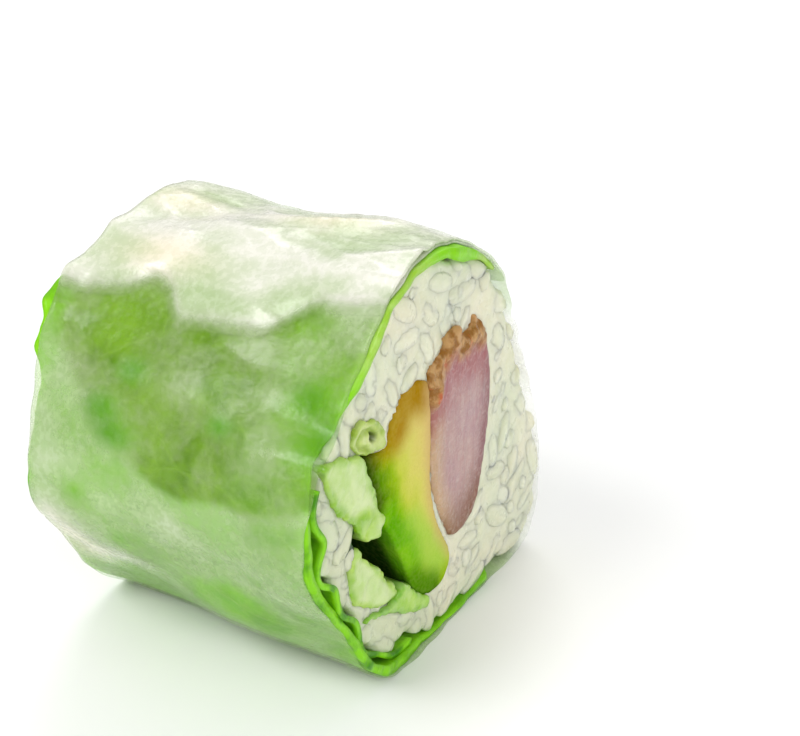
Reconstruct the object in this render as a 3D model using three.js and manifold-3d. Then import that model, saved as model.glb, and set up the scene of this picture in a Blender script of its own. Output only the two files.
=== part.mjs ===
// One slice of a rice paper roll, lying on its side: hydrated rice paper round a lettuce leaf, a ring of
// sushi rice, and strips of avocado, seared fish and lettuce heart that run from one cut face to the other.
// Millimetres, +Z up. The roll's axis runs along X, the front cut face looks towards +X, and the slice
// rests on a flat spot at z = 0, with the origin under its middle.
import * as THREE from "three";
import Module from "manifold-3d";
import { mergeVertices } from "three/addons/utils/BufferGeometryUtils.js";

const wasm = await Module();
wasm.setup();

// ---------------------------------------------------------------- driving dimensions
const ROLL_LENGTH = 31;
const FRONT = ROLL_LENGTH / 2;
const AXIS_HEIGHT = 19.5; // of the roll's middle line above the board
// Distance from the middle line to the paper every 22.5 degrees, anticlockwise from +Y as seen from +X.
// The slice has slumped: its sole is broad and its widest corner is low on the +Y side.
const PAPER_RADII = [
  18.7, 17.0, 17.8, 19.3, 20.5, 20.3, 19.4, 20.8, 20.9, 19.6, 20.2, 21.2, 20.4, 22.2, 26.4, 23.0,
];
const REAR_TAPER = 0.03; // the rear face is this much smaller than the front one
const REAR_DENT = { middle: 166, width: 22, depth: 1.4 }; // pressed into the rear edge: degrees, and mm

const PAPER_THICKNESS = 0.5;
const LEAF_THICKNESS = 0.75;
const GAP = 0.12; // between neighbouring layers
const FLAP_FROM = 48; // degrees: where the sheet starts, under its own outer end
const FLAP_TO = 128; // degrees: where the outer end of the sheet lies, on the upper left
const FLAP_EASE = 24; // degrees over which the inner turn comes back out to the surface
const LEAF_FROM = 56; // degrees: the leaf's free edges at the front face
const LEAF_TO = 296;
const LEAF_TIPS = { middle: 134, width: 20, reach: 1.0 }; // where the leaf stands out of the rear face
// The leaf is folded double near its upper edge and along the lower left.
const LEAF_FOLDS = [
  { middle: 76, width: 11, extra: 1.1 },
  { middle: 262, width: 14, extra: 0.5 },
];
const INNER_LEAF_FROM = 168; // a second, folded-in layer of the leaf on the lower left
const INNER_LEAF_TO = 256;
const INNER_LEAF_THICKNESS = 0.68;

const GRAIN_LENGTH = 5.8;
const GRAIN_WIDTH = 2.9;
const GRAIN_PITCH = 3.1; // between rows of grains on a cut face
const GRAIN_SEAT = 1.15; // how far a grain's middle lies behind the plane of the cut
const GRAIN_INSIDE = 0.7; // the least depth of a grain's middle inside the ring's outer edge
const RICE_BACK = 1.0; // how far the bare rice between the grains lies behind it

const WIDE_STEP = 8; // degrees between the lines that every layer has in common, and on the bare side
const FINE_STEP = 4;
const FINE_FROM = 288; // degrees: the bare side runs from here up to FLAP_FROM
const ALONG = 10; // grid steps from face to face
const FILLING_STEPS = 3;

// Outlines at the front face, as [y, z] corners that a smooth closed curve runs through.
const FISH_OUTLINE = [
  [-1.7, 27.9], [0.9, 30.7], [2.9, 31.4], [4.9, 30.6], [6.8, 30.9], [8.6, 29.2], [9.8, 26.6], [10.0, 21.8],
  [9.4, 18.2], [8.6, 14.5], [7.8, 10.5], [6.3, 8.9], [4.4, 8.5], [2.5, 9.4], [1.6, 11.8], [0.7, 15.5],
  [0.0, 20.0], [-0.3, 24.5],
];
const AVOCADO_OUTLINE = [
  [-5.9, 28.7], [-2.4, 28.8], [2.0, 26.5], [2.4, 20.0], [2.9, 14.0], [3.6, 9.0], [2.2, 6.5], [0.4, 5.5],
  [-1.9, 5.9], [-4.6, 9.4], [-7.1, 14.3], [-8.6, 18.9], [-10.4, 22.4], [-11.0, 24.3], [-9.0, 25.0],
  [-8.0, 26.8],
];
const UPPER_HEART_OUTLINE = [
  [-18.3, 25.6], [-16.9, 26.6], [-14.6, 26.0], [-12.6, 25.6], [-12.0, 23.4], [-11.2, 21.2], [-10.1, 19.3],
  [-9.8, 17.6], [-10.9, 16.7], [-12.9, 17.9], [-13.9, 20.0], [-15.4, 22.0], [-17.4, 23.6],
];
const LOWER_HEART_OUTLINE = [
  [-13.7, 17.3], [-11.4, 15.3], [-9.6, 13.6], [-8.8, 12.1], [-7.3, 10.6], [-7.0, 9.0], [-8.8, 8.4],
  [-10.8, 8.8], [-12.5, 10.5], [-13.7, 13.6],
];
const DARK_HOLLOW_OUTLINE = [
  [-13.3, 17.9], [-11.4, 15.5], [-9.3, 13.2], [-7.1, 10.6], [-6.5, 8.7], [-5.3, 8.4], [-4.8, 9.6],
  [-6.9, 14.0], [-8.4, 18.0], [-9.5, 17.3], [-10.9, 16.6], [-12.2, 17.5],
];
const HOLLOW_DEPTH = 8;
const SHRED_PATH = [[-12.8, 9.3], [-10.6, 7.5], [-7.4, 7.0], [-4.6, 5.6], [-2.6, 4.4]];
const SHRED_THICKNESS = 0.9;
const CURL_PATH = [[-15.0, 27.7], [-13.9, 28.9], [-12.1, 29.2], [-10.4, 28.2], [-9.9, 26.7], [-11.2, 26.3]];
const CURL_THICKNESS = 1.1;

const LEAF_GREEN = 0x6fae3a;
const HEART_GREEN = 0xd2e6a4;
const FINISH = {
  rice_paper: { color: 0xdfe8cf, roughness: 0.3 },
  lettuce_leaf: { color: LEAF_GREEN, roughness: 0.45 },
  lettuce_leaf_inner: { color: LEAF_GREEN, roughness: 0.45 },
  rice: { color: 0xe9e9dd, roughness: 0.5 },
  avocado: { color: 0xc3cf5a, roughness: 0.45 },
  seared_fish: { color: 0xc0a0a0, roughness: 0.45 },
  lettuce_heart_upper: { color: HEART_GREEN, roughness: 0.4 },
  lettuce_heart_lower: { color: HEART_GREEN, roughness: 0.4 },
  lettuce_curl: { color: HEART_GREEN, roughness: 0.4 },
  lettuce_shred: { color: LEAF_GREEN, roughness: 0.45 },
};

// ---------------------------------------------------------------- the roll's outer surface
const degrees = (value) => THREE.MathUtils.degToRad(value);
const wrap = THREE.MathUtils.euclideanModulo;
const lerp = THREE.MathUtils.lerp;
const smoothstep = THREE.MathUtils.smoothstep;
const bump = (turned, { middle, width }) => Math.exp(-(((turned - middle) / width) ** 2));

// How far the slice has been left behind the front face: 0 at the front, 1 at the rear.
const depthShare = (x) => (FRONT - x) / ROLL_LENGTH;

// The paper's distance from the middle line before any bumps, by a periodic cubic through PAPER_RADII.
function plainRadius(angle) {
  const count = PAPER_RADII.length;
  const place = wrap(angle / (2 * Math.PI), 1) * count;
  const index = Math.floor(place);
  const t = place - index;
  const [a, b, c, d] = [-1, 0, 1, 2].map((step) => PAPER_RADII[(index + step + count) % count]);
  return 0.5 * (2 * b + (c - a) * t + (2 * a - 5 * b + 4 * c - d) * t * t + (3 * b - a - 3 * c + d) * t ** 3);
}

// The turn of an angle in degrees, counted on from the place where the sheet starts.
const turnOf = (angle) => FLAP_FROM + wrap(THREE.MathUtils.radToDeg(angle) - FLAP_FROM, 360);

// The leaf's lower edge wanders along the roll.
const leafTo = (x) => LEAF_TO + 22 * Math.sin(Math.PI * depthShare(x)) + 12 * depthShare(x);

// 1 where rice lies straight against the paper, on the +Y side, and 0 where the leaf is between them.
function bareShare(angle, x) {
  const turned = turnOf(angle);
  return smoothstep(turned, leafTo(x) + 4, leafTo(x) + 22) * (1 - smoothstep(turned, 386, 402));
}

// Long soft dents of the leaf and, where the side is bare, the knobs of rice grains behind the paper.
function relief(angle, x) {
  const dents =
    0.34 * Math.sin(3 * angle + 0.13 * x + 0.4) * Math.cos(0.16 * x + 1.1) +
    0.28 * Math.sin(5 * angle - 0.22 * x + 2.0) +
    0.16 * Math.sin(8 * angle + 0.34 * x + 1.0);
  const dent = REAR_DENT.depth * bump(turnOf(angle), REAR_DENT) * Math.max(0, depthShare(x)) ** 2;
  const knobs = 0.42 * Math.sin(22 * angle + 0.5 * x) * Math.sin(0.95 * x + 3 * angle);
  return dents - dent + knobs * bareShare(angle, x);
}

// A point at a given inset under the paper's outer surface. The sole is pressed flat, layer on layer.
function layerPoint(angle, x, inset) {
  const size = 1 - REAR_TAPER * depthShare(x);
  const radiusAt = (a) => (plainRadius(a) + relief(a, x)) * size;
  const radius = radiusAt(angle);
  const slope = (radiusAt(angle + 0.01) - radiusAt(angle - 0.01)) / 0.02;
  const lean = Math.atan2(slope, radius);
  const y = radius * Math.cos(angle) - inset * Math.cos(angle - lean);
  const z = AXIS_HEIGHT * size + radius * Math.sin(angle) - inset * Math.sin(angle - lean);
  return new THREE.Vector3(x, y, Math.max(z, inset));
}

// ---------------------------------------------------------------- solids
const solidFrom = (positions, triangles) =>
  new wasm.Manifold(
    new wasm.Mesh({
      numProp: 3,
      vertProperties: new Float32Array(positions),
      triVerts: new Uint32Array(triangles),
    }),
  );

// The largest body of a solid, once corners closer than a micron are one and loose scraps are dropped.
function tidied(solid) {
  const cut = solid.getMesh();
  const loose = new THREE.BufferGeometry();
  loose.setAttribute("position", new THREE.BufferAttribute(new Float32Array(cut.vertProperties), 3));
  loose.setIndex(new THREE.BufferAttribute(new Uint32Array(cut.triVerts), 1));
  const merged = mergeVertices(loose, 1e-3);
  const bodies = solidFrom(merged.attributes.position.array, merged.index.array).decompose();
  return bodies.reduce((best, body) => (body.volume() > best.volume() ? body : best));
}

function namedMesh(name, solid) {
  const cut = tidied(solid).getMesh();
  const geometry = new THREE.BufferGeometry();
  geometry.setAttribute("position", new THREE.BufferAttribute(new Float32Array(cut.vertProperties), 3));
  geometry.setIndex(new THREE.BufferAttribute(new Uint32Array(cut.triVerts), 1));
  geometry.computeVertexNormals();
  const mesh = new THREE.Mesh(geometry, new THREE.MeshStandardMaterial({ metalness: 0, ...FINISH[name] }));
  mesh.name = name;
  return mesh;
}

// The turns, in degrees, of the lines that all layers share, from one turn to another.
function sharedTurns(from, to) {
  const stepAt = (turned) => (turned >= FINE_FROM && turned < FLAP_FROM + 360 ? FINE_STEP : WIDE_STEP);
  const turns = [from];
  while (turns.at(-1) < to) turns.push(turns.at(-1) + stepAt(turns.at(-1)));
  return turns;
}

// Where a grid's cross line lies: on a shared station, or at the layer's own uneven end.
function stationAt(j, end) {
  if (j === 0 || j === ALONG) return j === 0 ? -end : end;
  return lerp(-FRONT, FRONT, j / ALONG);
}

// A closed sheet over a grid: skins(i, j) gives the outer and inner point at line i, station j.
function sheetSolid(across, skins) {
  const positions = [];
  const triangles = [];
  for (let i = 0; i <= across; i++)
    for (let j = 0; j <= ALONG; j++) {
      const { outer, inner } = skins(i, j);
      positions.push(...outer.toArray(), ...inner.toArray());
    }
  const at = (i, j, skin) => 2 * (i * (ALONG + 1) + j) + skin;
  const quad = (a, b, c, d) => triangles.push(a, b, c, a, c, d);
  for (let i = 0; i < across; i++)
    for (let j = 0; j < ALONG; j++) {
      triangles.push(at(i, j, 0), at(i + 1, j, 0), at(i + 1, j + 1, 0));
      triangles.push(at(i, j, 0), at(i + 1, j + 1, 0), at(i, j + 1, 0));
      triangles.push(at(i, j, 1), at(i + 1, j + 1, 1), at(i + 1, j, 1));
      triangles.push(at(i, j, 1), at(i, j + 1, 1), at(i + 1, j + 1, 1));
    }
  for (let i = 0; i < across; i++) {
    quad(at(i, 0, 0), at(i, 0, 1), at(i + 1, 0, 1), at(i + 1, 0, 0));
    quad(at(i, ALONG, 0), at(i + 1, ALONG, 0), at(i + 1, ALONG, 1), at(i, ALONG, 1));
  }
  for (let j = 0; j < ALONG; j++) {
    quad(at(0, j, 0), at(0, j + 1, 0), at(0, j + 1, 1), at(0, j, 1));
    quad(at(across, j, 0), at(across, j, 1), at(across, j + 1, 1), at(across, j + 1, 0));
  }
  return solidFrom(positions, triangles);
}

// Twice the area that an outline encloses, above 0 if it runs anticlockwise as seen from +X.
const doubleArea = (outline) =>
  outline.reduce((sum, p, i) => {
    const q = outline[(i + 1) % outline.length];
    return sum + p.y * q.z - q.y * p.z;
  }, 0);

// A closed solid through a row of rings, from the rear one to the front one, that all have as many points.
function loftSolid(rings) {
  const turned = doubleArea(rings[0]) > 0 ? rings : rings.map((ring) => [...ring].reverse());
  const count = turned[0].length;
  const positions = turned.flatMap((ring) => ring.flatMap((point) => point.toArray()));
  const triangles = [];
  for (let k = 0; k + 1 < turned.length; k++)
    for (let i = 0; i < count; i++) {
      const next = (i + 1) % count;
      const [a, b, c, d] = [k * count + i, k * count + next, (k + 1) * count + next, (k + 1) * count + i];
      triangles.push(a, b, c, a, c, d);
    }
  const cap = (ring) => THREE.ShapeUtils.triangulateShape(ring.map((p) => new THREE.Vector2(p.y, p.z)), []);
  const last = (turned.length - 1) * count;
  for (const [a, b, c] of cap(turned[0])) triangles.push(a, c, b);
  for (const [a, b, c] of cap(turned[turned.length - 1])) triangles.push(last + a, last + b, last + c);
  return solidFrom(positions, triangles);
}

// ---------------------------------------------------------------- fillings: outlines carried along the roll
function closedCurve(corners, count) {
  const points = corners.map(([y, z]) => new THREE.Vector3(0, y, z));
  const curve = new THREE.CatmullRomCurve3(points, true, "centripetal");
  return curve.getSpacedPoints(count).slice(0, count);
}

// A strip of leaf seen end on: a path thickened to both sides, tapered at its two ends.
function stripOutline(corners, thickness, steps = 9) {
  const path = new THREE.CatmullRomCurve3(corners.map(([y, z]) => new THREE.Vector3(0, y, z)));
  const side = (sign) =>
    Array.from({ length: steps + 1 }, (unused, i) => {
      const t = i / steps;
      const tangent = path.getTangentAt(t);
      const half = (thickness / 2) * (0.45 + 0.55 * Math.sqrt(Math.sin(Math.PI * t)));
      return path.getPointAt(t).add(new THREE.Vector3(0, -tangent.z, tangent.y).multiplyScalar(sign * half));
    });
  return [...side(1), ...side(-1).reverse()];
}

// The outline moved outwards by a distance, along the mean of each corner's two edges.
function grown(outline, distance) {
  const count = outline.length;
  const way = Math.sign(doubleArea(outline));
  return outline.map((point, i) => {
    const along = outline[(i + 1) % count].clone().sub(outline[(i - 1 + count) % count]).normalize();
    const outward = new THREE.Vector3(0, along.z, -along.y).multiplyScalar(way);
    return point.clone().addScaledVector(outward, distance);
  });
}

// The filling drifts, turns and shrinks a little on its way to the rear face.
function carried(point, x) {
  const t = depthShare(x);
  const turn = degrees(7) * t;
  const y = point.y * (1 - 0.05 * t);
  const z = (point.z - AXIS_HEIGHT) * (1 - 0.05 * t);
  return new THREE.Vector3(
    x,
    y * Math.cos(turn) - z * Math.sin(turn) - 0.5 * t + 0.35 * Math.sin(Math.PI * t),
    AXIS_HEIGHT + y * Math.sin(turn) + z * Math.cos(turn) - 0.3 * t,
  );
}

function strip(outline, front, rear, steps = FILLING_STEPS) {
  const rings = [];
  for (let k = 0; k <= steps; k++) {
    const x = lerp(rear, front, k / steps);
    rings.push(outline.map((point) => carried(point, x)));
  }
  return loftSolid(rings);
}

// Each filling's outline, and how far its two ends stand out of the plane of the cut.
const FILLINGS = {
  seared_fish: { outline: closedCurve(FISH_OUTLINE, 32), proud: 0.15 },
  avocado: { outline: closedCurve(AVOCADO_OUTLINE, 30), proud: -0.1 },
  lettuce_heart_upper: { outline: closedCurve(UPPER_HEART_OUTLINE, 24), proud: 0.25 },
  lettuce_heart_lower: { outline: closedCurve(LOWER_HEART_OUTLINE, 20), proud: 0.1 },
  lettuce_curl: { outline: stripOutline(CURL_PATH, CURL_THICKNESS), proud: 0.3 },
  lettuce_shred: { outline: stripOutline(SHRED_PATH, SHRED_THICKNESS), proud: 0.2 },
};
const BEYOND = ROLL_LENGTH / 2 + 4; // past both faces, for cutting
const CRAG_ROOM = 0.2;

const roomFor = (name) => strip(grown(FILLINGS[name].outline, GAP + 0.04), BEYOND, -BEYOND);
const rooms = Object.fromEntries(Object.keys(FILLINGS).map((name) => [name, roomFor(name)]));

// The open pocket between the lettuce heart and the avocado, at one face.
function hollow(side) {
  const outline = closedCurve(DARK_HOLLOW_OUTLINE, 22);
  const [near, far] = side > 0 ? [BEYOND, FRONT - HOLLOW_DEPTH] : [HOLLOW_DEPTH - FRONT, -BEYOND];
  return strip(outline, near, far, 2);
}

// Browned crags along the fish's top edge, at both faces, grown by a distance where they are cut away.
function searedCrags(growth = 0) {
  const crags = [];
  for (const side of [1, -1])
    for (let i = 0; i < 7; i++) {
      const size = 0.75 + 0.3 * Math.sin(2.4 * i + side);
      const lump = new THREE.IcosahedronGeometry(size + growth, 0);
      lump.rotateX(1.3 * i).rotateZ(0.9 * i);
      const y = lerp(-0.6, 8.3, i / 6);
      const z = 29.2 + 1.0 * Math.sin(Math.PI * (i / 6)) - 0.12 * (i % 3);
      const x = side * (FRONT - 0.35);
      const seat = carried(new THREE.Vector3(0, y, z), x);
      lump.translate(seat.x, seat.y, seat.z);
      crags.push(solidOfGeometry(lump));
    }
  return crags;
}

function solidOfGeometry(geometry) {
  geometry.deleteAttribute("normal");
  geometry.deleteAttribute("uv");
  const merged = mergeVertices(geometry, 1e-4);
  return solidFrom(merged.attributes.position.array, merged.index.array);
}

function fillingSolid(name) {
  const { outline, proud } = FILLINGS[name];
  let solid = strip(outline, FRONT + proud, -FRONT - proud);
  if (name === "seared_fish") for (const crag of searedCrags()) solid = solid.add(crag);
  return solid;
}

// What is left of a solid beside the fish's crags and the open pockets.
function cutAway(solid) {
  let left = solid;
  for (const crag of searedCrags(CRAG_ROOM)) left = left.subtract(crag);
  for (const side of [1, -1]) left = left.subtract(hollow(side));
  return left;
}

// Later fillings give way to earlier ones, as soft lettuce does to a firm strip of fish, and all to the leaf.
function makeFillings() {
  const names = Object.keys(FILLINGS);
  const room = riceRoom();
  return names.map((name, place) => {
    let solid = fillingSolid(name).intersect(room);
    for (const firmer of names.slice(0, place)) solid = solid.subtract(rooms[firmer]);
    if (name !== "seared_fish") solid = cutAway(solid);
    return namedMesh(name, solid);
  });
}

// ---------------------------------------------------------------- wrapper and leaf
// Where the sheet starts it lies one layer deeper, under its own outer end.
function flapInset(turned) {
  const deep = PAPER_THICKNESS + GAP;
  return deep * (1 - smoothstep(turned, FLAP_TO, FLAP_TO + FLAP_EASE));
}

// How deep the innermost paper lies under the outer surface at an angle.
function paperDepth(angle) {
  const turned = wrap(THREE.MathUtils.radToDeg(angle), 360);
  return PAPER_THICKNESS + smoothstep(turned, FLAP_FROM - 14, FLAP_FROM - 4) * flapInset(turned);
}

// The knife leaves each layer's edge a little uneven.
const frayedEnd = (angle, phase) =>
  0.22 * Math.sin(3 * angle + phase) + 0.16 * Math.sin(7 * angle + 2 * phase);

function makePaper() {
  const turns = sharedTurns(FLAP_FROM, FLAP_TO + 360);
  const solid = sheetSolid(turns.length - 1, (i, j) => {
    const angle = degrees(turns[i]);
    const short = j === 0 ? LEAF_TIPS.reach * bump(turns[i], LEAF_TIPS) : 0;
    const x = stationAt(j, FRONT + 0.25 - short + frayedEnd(angle, 0.6));
    const inset = turns[i] < FLAP_TO + FLAP_EASE ? flapInset(turns[i]) : 0;
    return { outer: layerPoint(angle, x, inset), inner: layerPoint(angle, x, inset + PAPER_THICKNESS) };
  });
  return namedMesh("rice_paper", solid);
}

// How far under the outer surface a leaf's two faces lie: a thin wavy solid, thinning at its free edges.
function leafSkins(angle, x, fromEdge, under, thickness) {
  const top = under + GAP;
  const edge = Math.min(1, 0.3 + 0.035 * fromEdge);
  return { outer: layerPoint(angle, x, top), inner: layerPoint(angle, x, top + thickness * edge) };
}

function leafThickness(angle) {
  const folded = LEAF_FOLDS.reduce((sum, fold) => sum + fold.extra * bump(turnOf(angle), fold), 0);
  return LEAF_THICKNESS * (1 + folded);
}

// The leaf's lines are the shared ones as far as the sole, then spread evenly to its wandering edge.
function makeLeaf() {
  const shared = sharedTurns(LEAF_FROM, INNER_LEAF_TO);
  const spread = 11;
  const solid = sheetSolid(shared.length - 1 + spread, (i, j) => {
    const beyond = Math.max(0, i - shared.length + 1) / spread;
    const fray = 1.4 * frayedEnd(degrees(shared[Math.min(i, shared.length - 1)]) + beyond, 2.1);
    const tips = j === 0 ? LEAF_TIPS.reach * bump(shared[i] ?? LEAF_TO, LEAF_TIPS) : 0;
    const x = stationAt(j, FRONT + 0.05 + tips + fray);
    const turned = beyond > 0 ? lerp(INNER_LEAF_TO, leafTo(x), beyond) : shared[i];
    const angle = degrees(turned);
    const fromEdge = Math.min(turned - LEAF_FROM, leafTo(x) - turned);
    return leafSkins(angle, x, fromEdge, paperDepth(angle), leafThickness(angle));
  });
  return namedMesh("lettuce_leaf", solid);
}

const leafDepth = (angle) => paperDepth(angle) + GAP + leafThickness(angle);

function makeInnerLeaf() {
  const turns = sharedTurns(INNER_LEAF_FROM, INNER_LEAF_TO);
  const solid = sheetSolid(turns.length - 1, (i, j) => {
    const angle = degrees(turns[i]);
    const x = stationAt(j, FRONT - 0.35 + 1.2 * frayedEnd(angle, 4.0));
    const fromEdge = Math.min(turns[i] - INNER_LEAF_FROM, INNER_LEAF_TO - turns[i]);
    return leafSkins(angle, x, fromEdge, leafDepth(angle), INNER_LEAF_THICKNESS);
  });
  return namedMesh("lettuce_leaf_inner", solid);
}

// ---------------------------------------------------------------- rice
// How deep the rice starts: under whatever leaf there is at that angle, easing at the leaf's free edges.
function riceDepth(angle, x) {
  const turned = wrap(THREE.MathUtils.radToDeg(angle), 360);
  const within = (from, to, ease) =>
    Math.min(smoothstep(turned, from - ease, from - 2), 1 - smoothstep(turned, to + 2, to + ease));
  const leaf = (GAP + leafThickness(angle)) * within(LEAF_FROM, leafTo(x), 12);
  const inner = (GAP + INNER_LEAF_THICKNESS) * within(INNER_LEAF_FROM, INNER_LEAF_TO, 12);
  return paperDepth(angle) + leaf + inner + GAP + 0.03;
}

// All the room inside the leaf and the paper, out past both faces.
function riceRoom() {
  const shared = Array.from({ length: ALONG + 1 }, (unused, j) => stationAt(j, FRONT));
  const turns = sharedTurns(FLAP_FROM, FLAP_FROM + 360).slice(0, -1);
  const ringAt = (x) => {
    const inFace = Math.min(Math.max(x, -FRONT), FRONT);
    return turns.map(degrees).map((angle) => layerPoint(angle, inFace, riceDepth(angle, inFace)).setX(x));
  };
  return loftSolid([-BEYOND, ...shared, BEYOND].map(ringAt));
}

// A share from 0 to 1 that looks random and is the same on every run.
const chance = (index, salt) => wrap(Math.sin(index * 12.9898 + salt * 78.233) * 43758.5453, 1);

// One cooked grain of the face it shows in, turned its own way and pressed into its neighbours.
function makeGrain(index, side, y, z) {
  const width = (GRAIN_WIDTH / 2) * (0.9 + 0.25 * chance(index, 3));
  const length = (GRAIN_LENGTH / 2) * (0.85 + 0.25 * chance(index, 4));
  const grain = new THREE.SphereGeometry(1, 6, 4);
  grain.rotateX(Math.PI / 2);
  grain.scale(width, length, width);
  grain.rotateZ((chance(index, 5) - 0.5) * 0.9);
  grain.rotateX((chance(index, 6) - 0.5) * 2.6);
  grain.translate(side * (FRONT - GRAIN_SEAT - 0.35 * chance(index, 7)), y, z);
  return solidOfGeometry(grain);
}

// Grains lie in staggered rows over a cut face.
function faceGrains(side) {
  const grains = [];
  const spacing = GRAIN_LENGTH * 0.82;
  const reach = Math.max(...PAPER_RADII);
  const columns = Math.ceil((2 * reach) / spacing);
  const rows = Math.ceil((AXIS_HEIGHT + reach) / GRAIN_PITCH);
  for (let row = 0; row < rows; row++)
    for (let column = 0; column < columns; column++) {
      const index = row * 40 + column + (side > 0 ? 0 : 2000);
      const y = -reach + (column + 0.5 * (row % 2) + 0.34 * (chance(index, 1) - 0.5)) * spacing;
      const z = 1.2 + (row + 0.4 * (chance(index, 2) - 0.5)) * GRAIN_PITCH;
      if (inRice(y, z, side)) grains.push(makeGrain(index, side, y, z));
    }
  return grains;
}

// True where a closed ring goes round a point, by counting the edges crossed on the way out.
function encloses(ring, y, z) {
  return ring.reduce((odd, p, i) => {
    const q = ring[(i + 1) % ring.length];
    const crosses = p.z > z !== q.z > z && y < ((q.y - p.y) * (z - p.z)) / (q.z - p.z) + p.y;
    return crosses ? !odd : odd;
  }, false);
}

// True where a grain's middle would lie in the ring of rice at that face.
function inRice(y, z, side) {
  const x = side * FRONT;
  const angle = Math.atan2(z - AXIS_HEIGHT, y);
  const edge = layerPoint(angle, x, riceDepth(angle, x) + GRAIN_INSIDE);
  if (Math.hypot(y, z - AXIS_HEIGHT) > Math.hypot(edge.y, edge.z - AXIS_HEIGHT)) return false;
  const filled = Object.values(FILLINGS).map(({ outline }) => outline.map((point) => carried(point, x)));
  return !filled.some((ring) => encloses(ring, y, z));
}

function makeRice() {
  const slab = new THREE.BoxGeometry(ROLL_LENGTH - 2 * RICE_BACK, 60, 60).translate(0, 0, 25);
  let rice = solidOfGeometry(slab);
  for (const side of [1, -1]) for (const grain of faceGrains(side)) rice = rice.add(grain);
  rice = rice.intersect(riceRoom());
  for (const room of Object.values(rooms)) rice = rice.subtract(room);
  return namedMesh("rice", cutAway(rice));
}

// ---------------------------------------------------------------- the slice
const roll = new THREE.Group();
roll.name = "rice_paper_roll";
roll.add(makePaper(), makeLeaf(), makeInnerLeaf(), makeRice(), ...makeFillings());

export default roll;
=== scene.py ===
# %% [markdown]
# # A slice of rice paper roll
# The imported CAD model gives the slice's true sizes: a spiral of soaked rice paper, a lettuce leaf under it, a
# ring of sushi rice, and strips of avocado, seared fish and lettuce heart that run from one cut face to the
# other. This lesson gives each of those layers its real surface. Everything stays in the frame of the model:
# X runs along the roll and out of the front cut face, Z is up, and the slice rests on z = 0.

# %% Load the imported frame
import math

import bmesh
import bpy
import numpy as np
from mathutils import Matrix, Vector, noise


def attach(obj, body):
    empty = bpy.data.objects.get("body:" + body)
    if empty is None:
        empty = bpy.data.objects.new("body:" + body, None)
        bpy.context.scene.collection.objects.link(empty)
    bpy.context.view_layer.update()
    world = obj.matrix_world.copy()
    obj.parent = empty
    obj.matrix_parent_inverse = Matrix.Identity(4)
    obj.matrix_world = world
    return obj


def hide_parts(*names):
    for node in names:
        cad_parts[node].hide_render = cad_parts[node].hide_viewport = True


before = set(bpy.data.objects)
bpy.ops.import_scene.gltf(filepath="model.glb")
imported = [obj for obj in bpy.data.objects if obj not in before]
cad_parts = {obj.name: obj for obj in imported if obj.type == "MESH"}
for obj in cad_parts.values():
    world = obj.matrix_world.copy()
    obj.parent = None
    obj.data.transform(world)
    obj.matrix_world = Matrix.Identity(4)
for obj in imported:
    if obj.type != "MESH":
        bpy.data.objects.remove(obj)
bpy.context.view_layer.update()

# %% [markdown]
# ## The form of the roll
# A roll of soft food has no circle in it: it slumps. Its outline is sixteen distances from the middle line,
# joined by a smooth periodic curve, plus a few sine waves for the dents that fingers leave. Every layer is
# the same outline at its own depth, so the layers nest without touching. Arrays of angles and places go
# through these functions at once, which is much quicker in Python than one point at a time. They work in
# millimetres. A turn is an angle in degrees that counts on from the paper's inner end, from 48 to 408.

# %% Driving dimensions, in millimetres
MM = 0.001
ROLL_LENGTH = 31
FRONT = ROLL_LENGTH / 2
AXIS_HEIGHT = 19.5
PAPER_RADII = np.array(
    [18.7, 17.0, 17.8, 19.3, 20.5, 20.3, 19.4, 20.8, 20.9, 19.6, 20.2, 21.2, 20.4, 22.2, 26.4, 23.0]
)
REAR_TAPER = 0.03
REAR_DENT = {"middle": 166, "width": 22}
REAR_DENT_DEPTH = 1.4
PAPER_THICKNESS = 0.2
LEAF_THICKNESS = 0.75
INNER_LEAF_THICKNESS = 0.544
GAP = 0.05
FLAP_FROM, FLAP_TO, FLAP_EASE = 48, 128, 24
LEAF_FROM, LEAF_TO = 56, 296
LEAF_TIPS = [(127.5, 5.5, 0.65), (134.5, 5.5, 0.78), (146.5, 6.5, 0.85)]  # turn, half width, reach
TUCKED_TIP = {"middle": 124, "width": 7}
LEAF_FOLDS = [(79, 7, 0.85), (250, 12, 0.4)]  # turn, half width, and how much thicker the leaf is
LEAF_THIN = [(120, 26, 0.5), (276, 12, 0.8), (62, 8, 0.45)]
INNER_FROM, INNER_TO = 162, 258
FRONT_GAPS = [(179, 6, 1.7), (197, 4, 0.7), (215, 5, 0.5), (240, 7, 0.3)]
REAR_GAPS = [(186, 6, 0.9), (207, 5, 0.6), (238, 8, 0.6)]
FRONT_SWELLS = [  # turn, half width, and how far the section swells, or sinks where the number is negative
    (78, 12, 0.65), (104, 18, 0.4), (128, 16, 0.5), (149, 5.5, -1.0), (26, 30, -1.2), (246, 10, -0.4),
    (303, 7, -0.4),
]
REAR_SWELLS = [(193, 14, 1.2), (158, 14, 0.25), (136, 11, 1.3), (99, 9, -0.9), (73, 8, 1.1)]
SOLE_SOFTNESS = 0.3
GRAIN_LENGTH, GRAIN_WIDTH = 5.8, 2.9
print("mean radius of the section, mm", PAPER_RADII.mean().round(1))


# %% Blends that the layers share
def smoothstep(value, low, high):
    t = np.clip((value - low) / (high - low), 0.0, 1.0)
    return t * t * (3 - 2 * t)


def fade(value, near, far):
    """1 up to near, falling softly to 0 at far."""
    return 1 - smoothstep(value, near, far)


def window(value, start, full, still, end):
    """Rises from 0 to 1 between two values and falls back to 0 between two others."""
    return smoothstep(value, start, full) * fade(value, still, end)


def near_cut(x, start, full=0.0):
    """Rises from 0 to 1 between two distances before the front cut. Give it -x for the rear cut."""
    return smoothstep(x, FRONT - start, FRONT - full)


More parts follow.
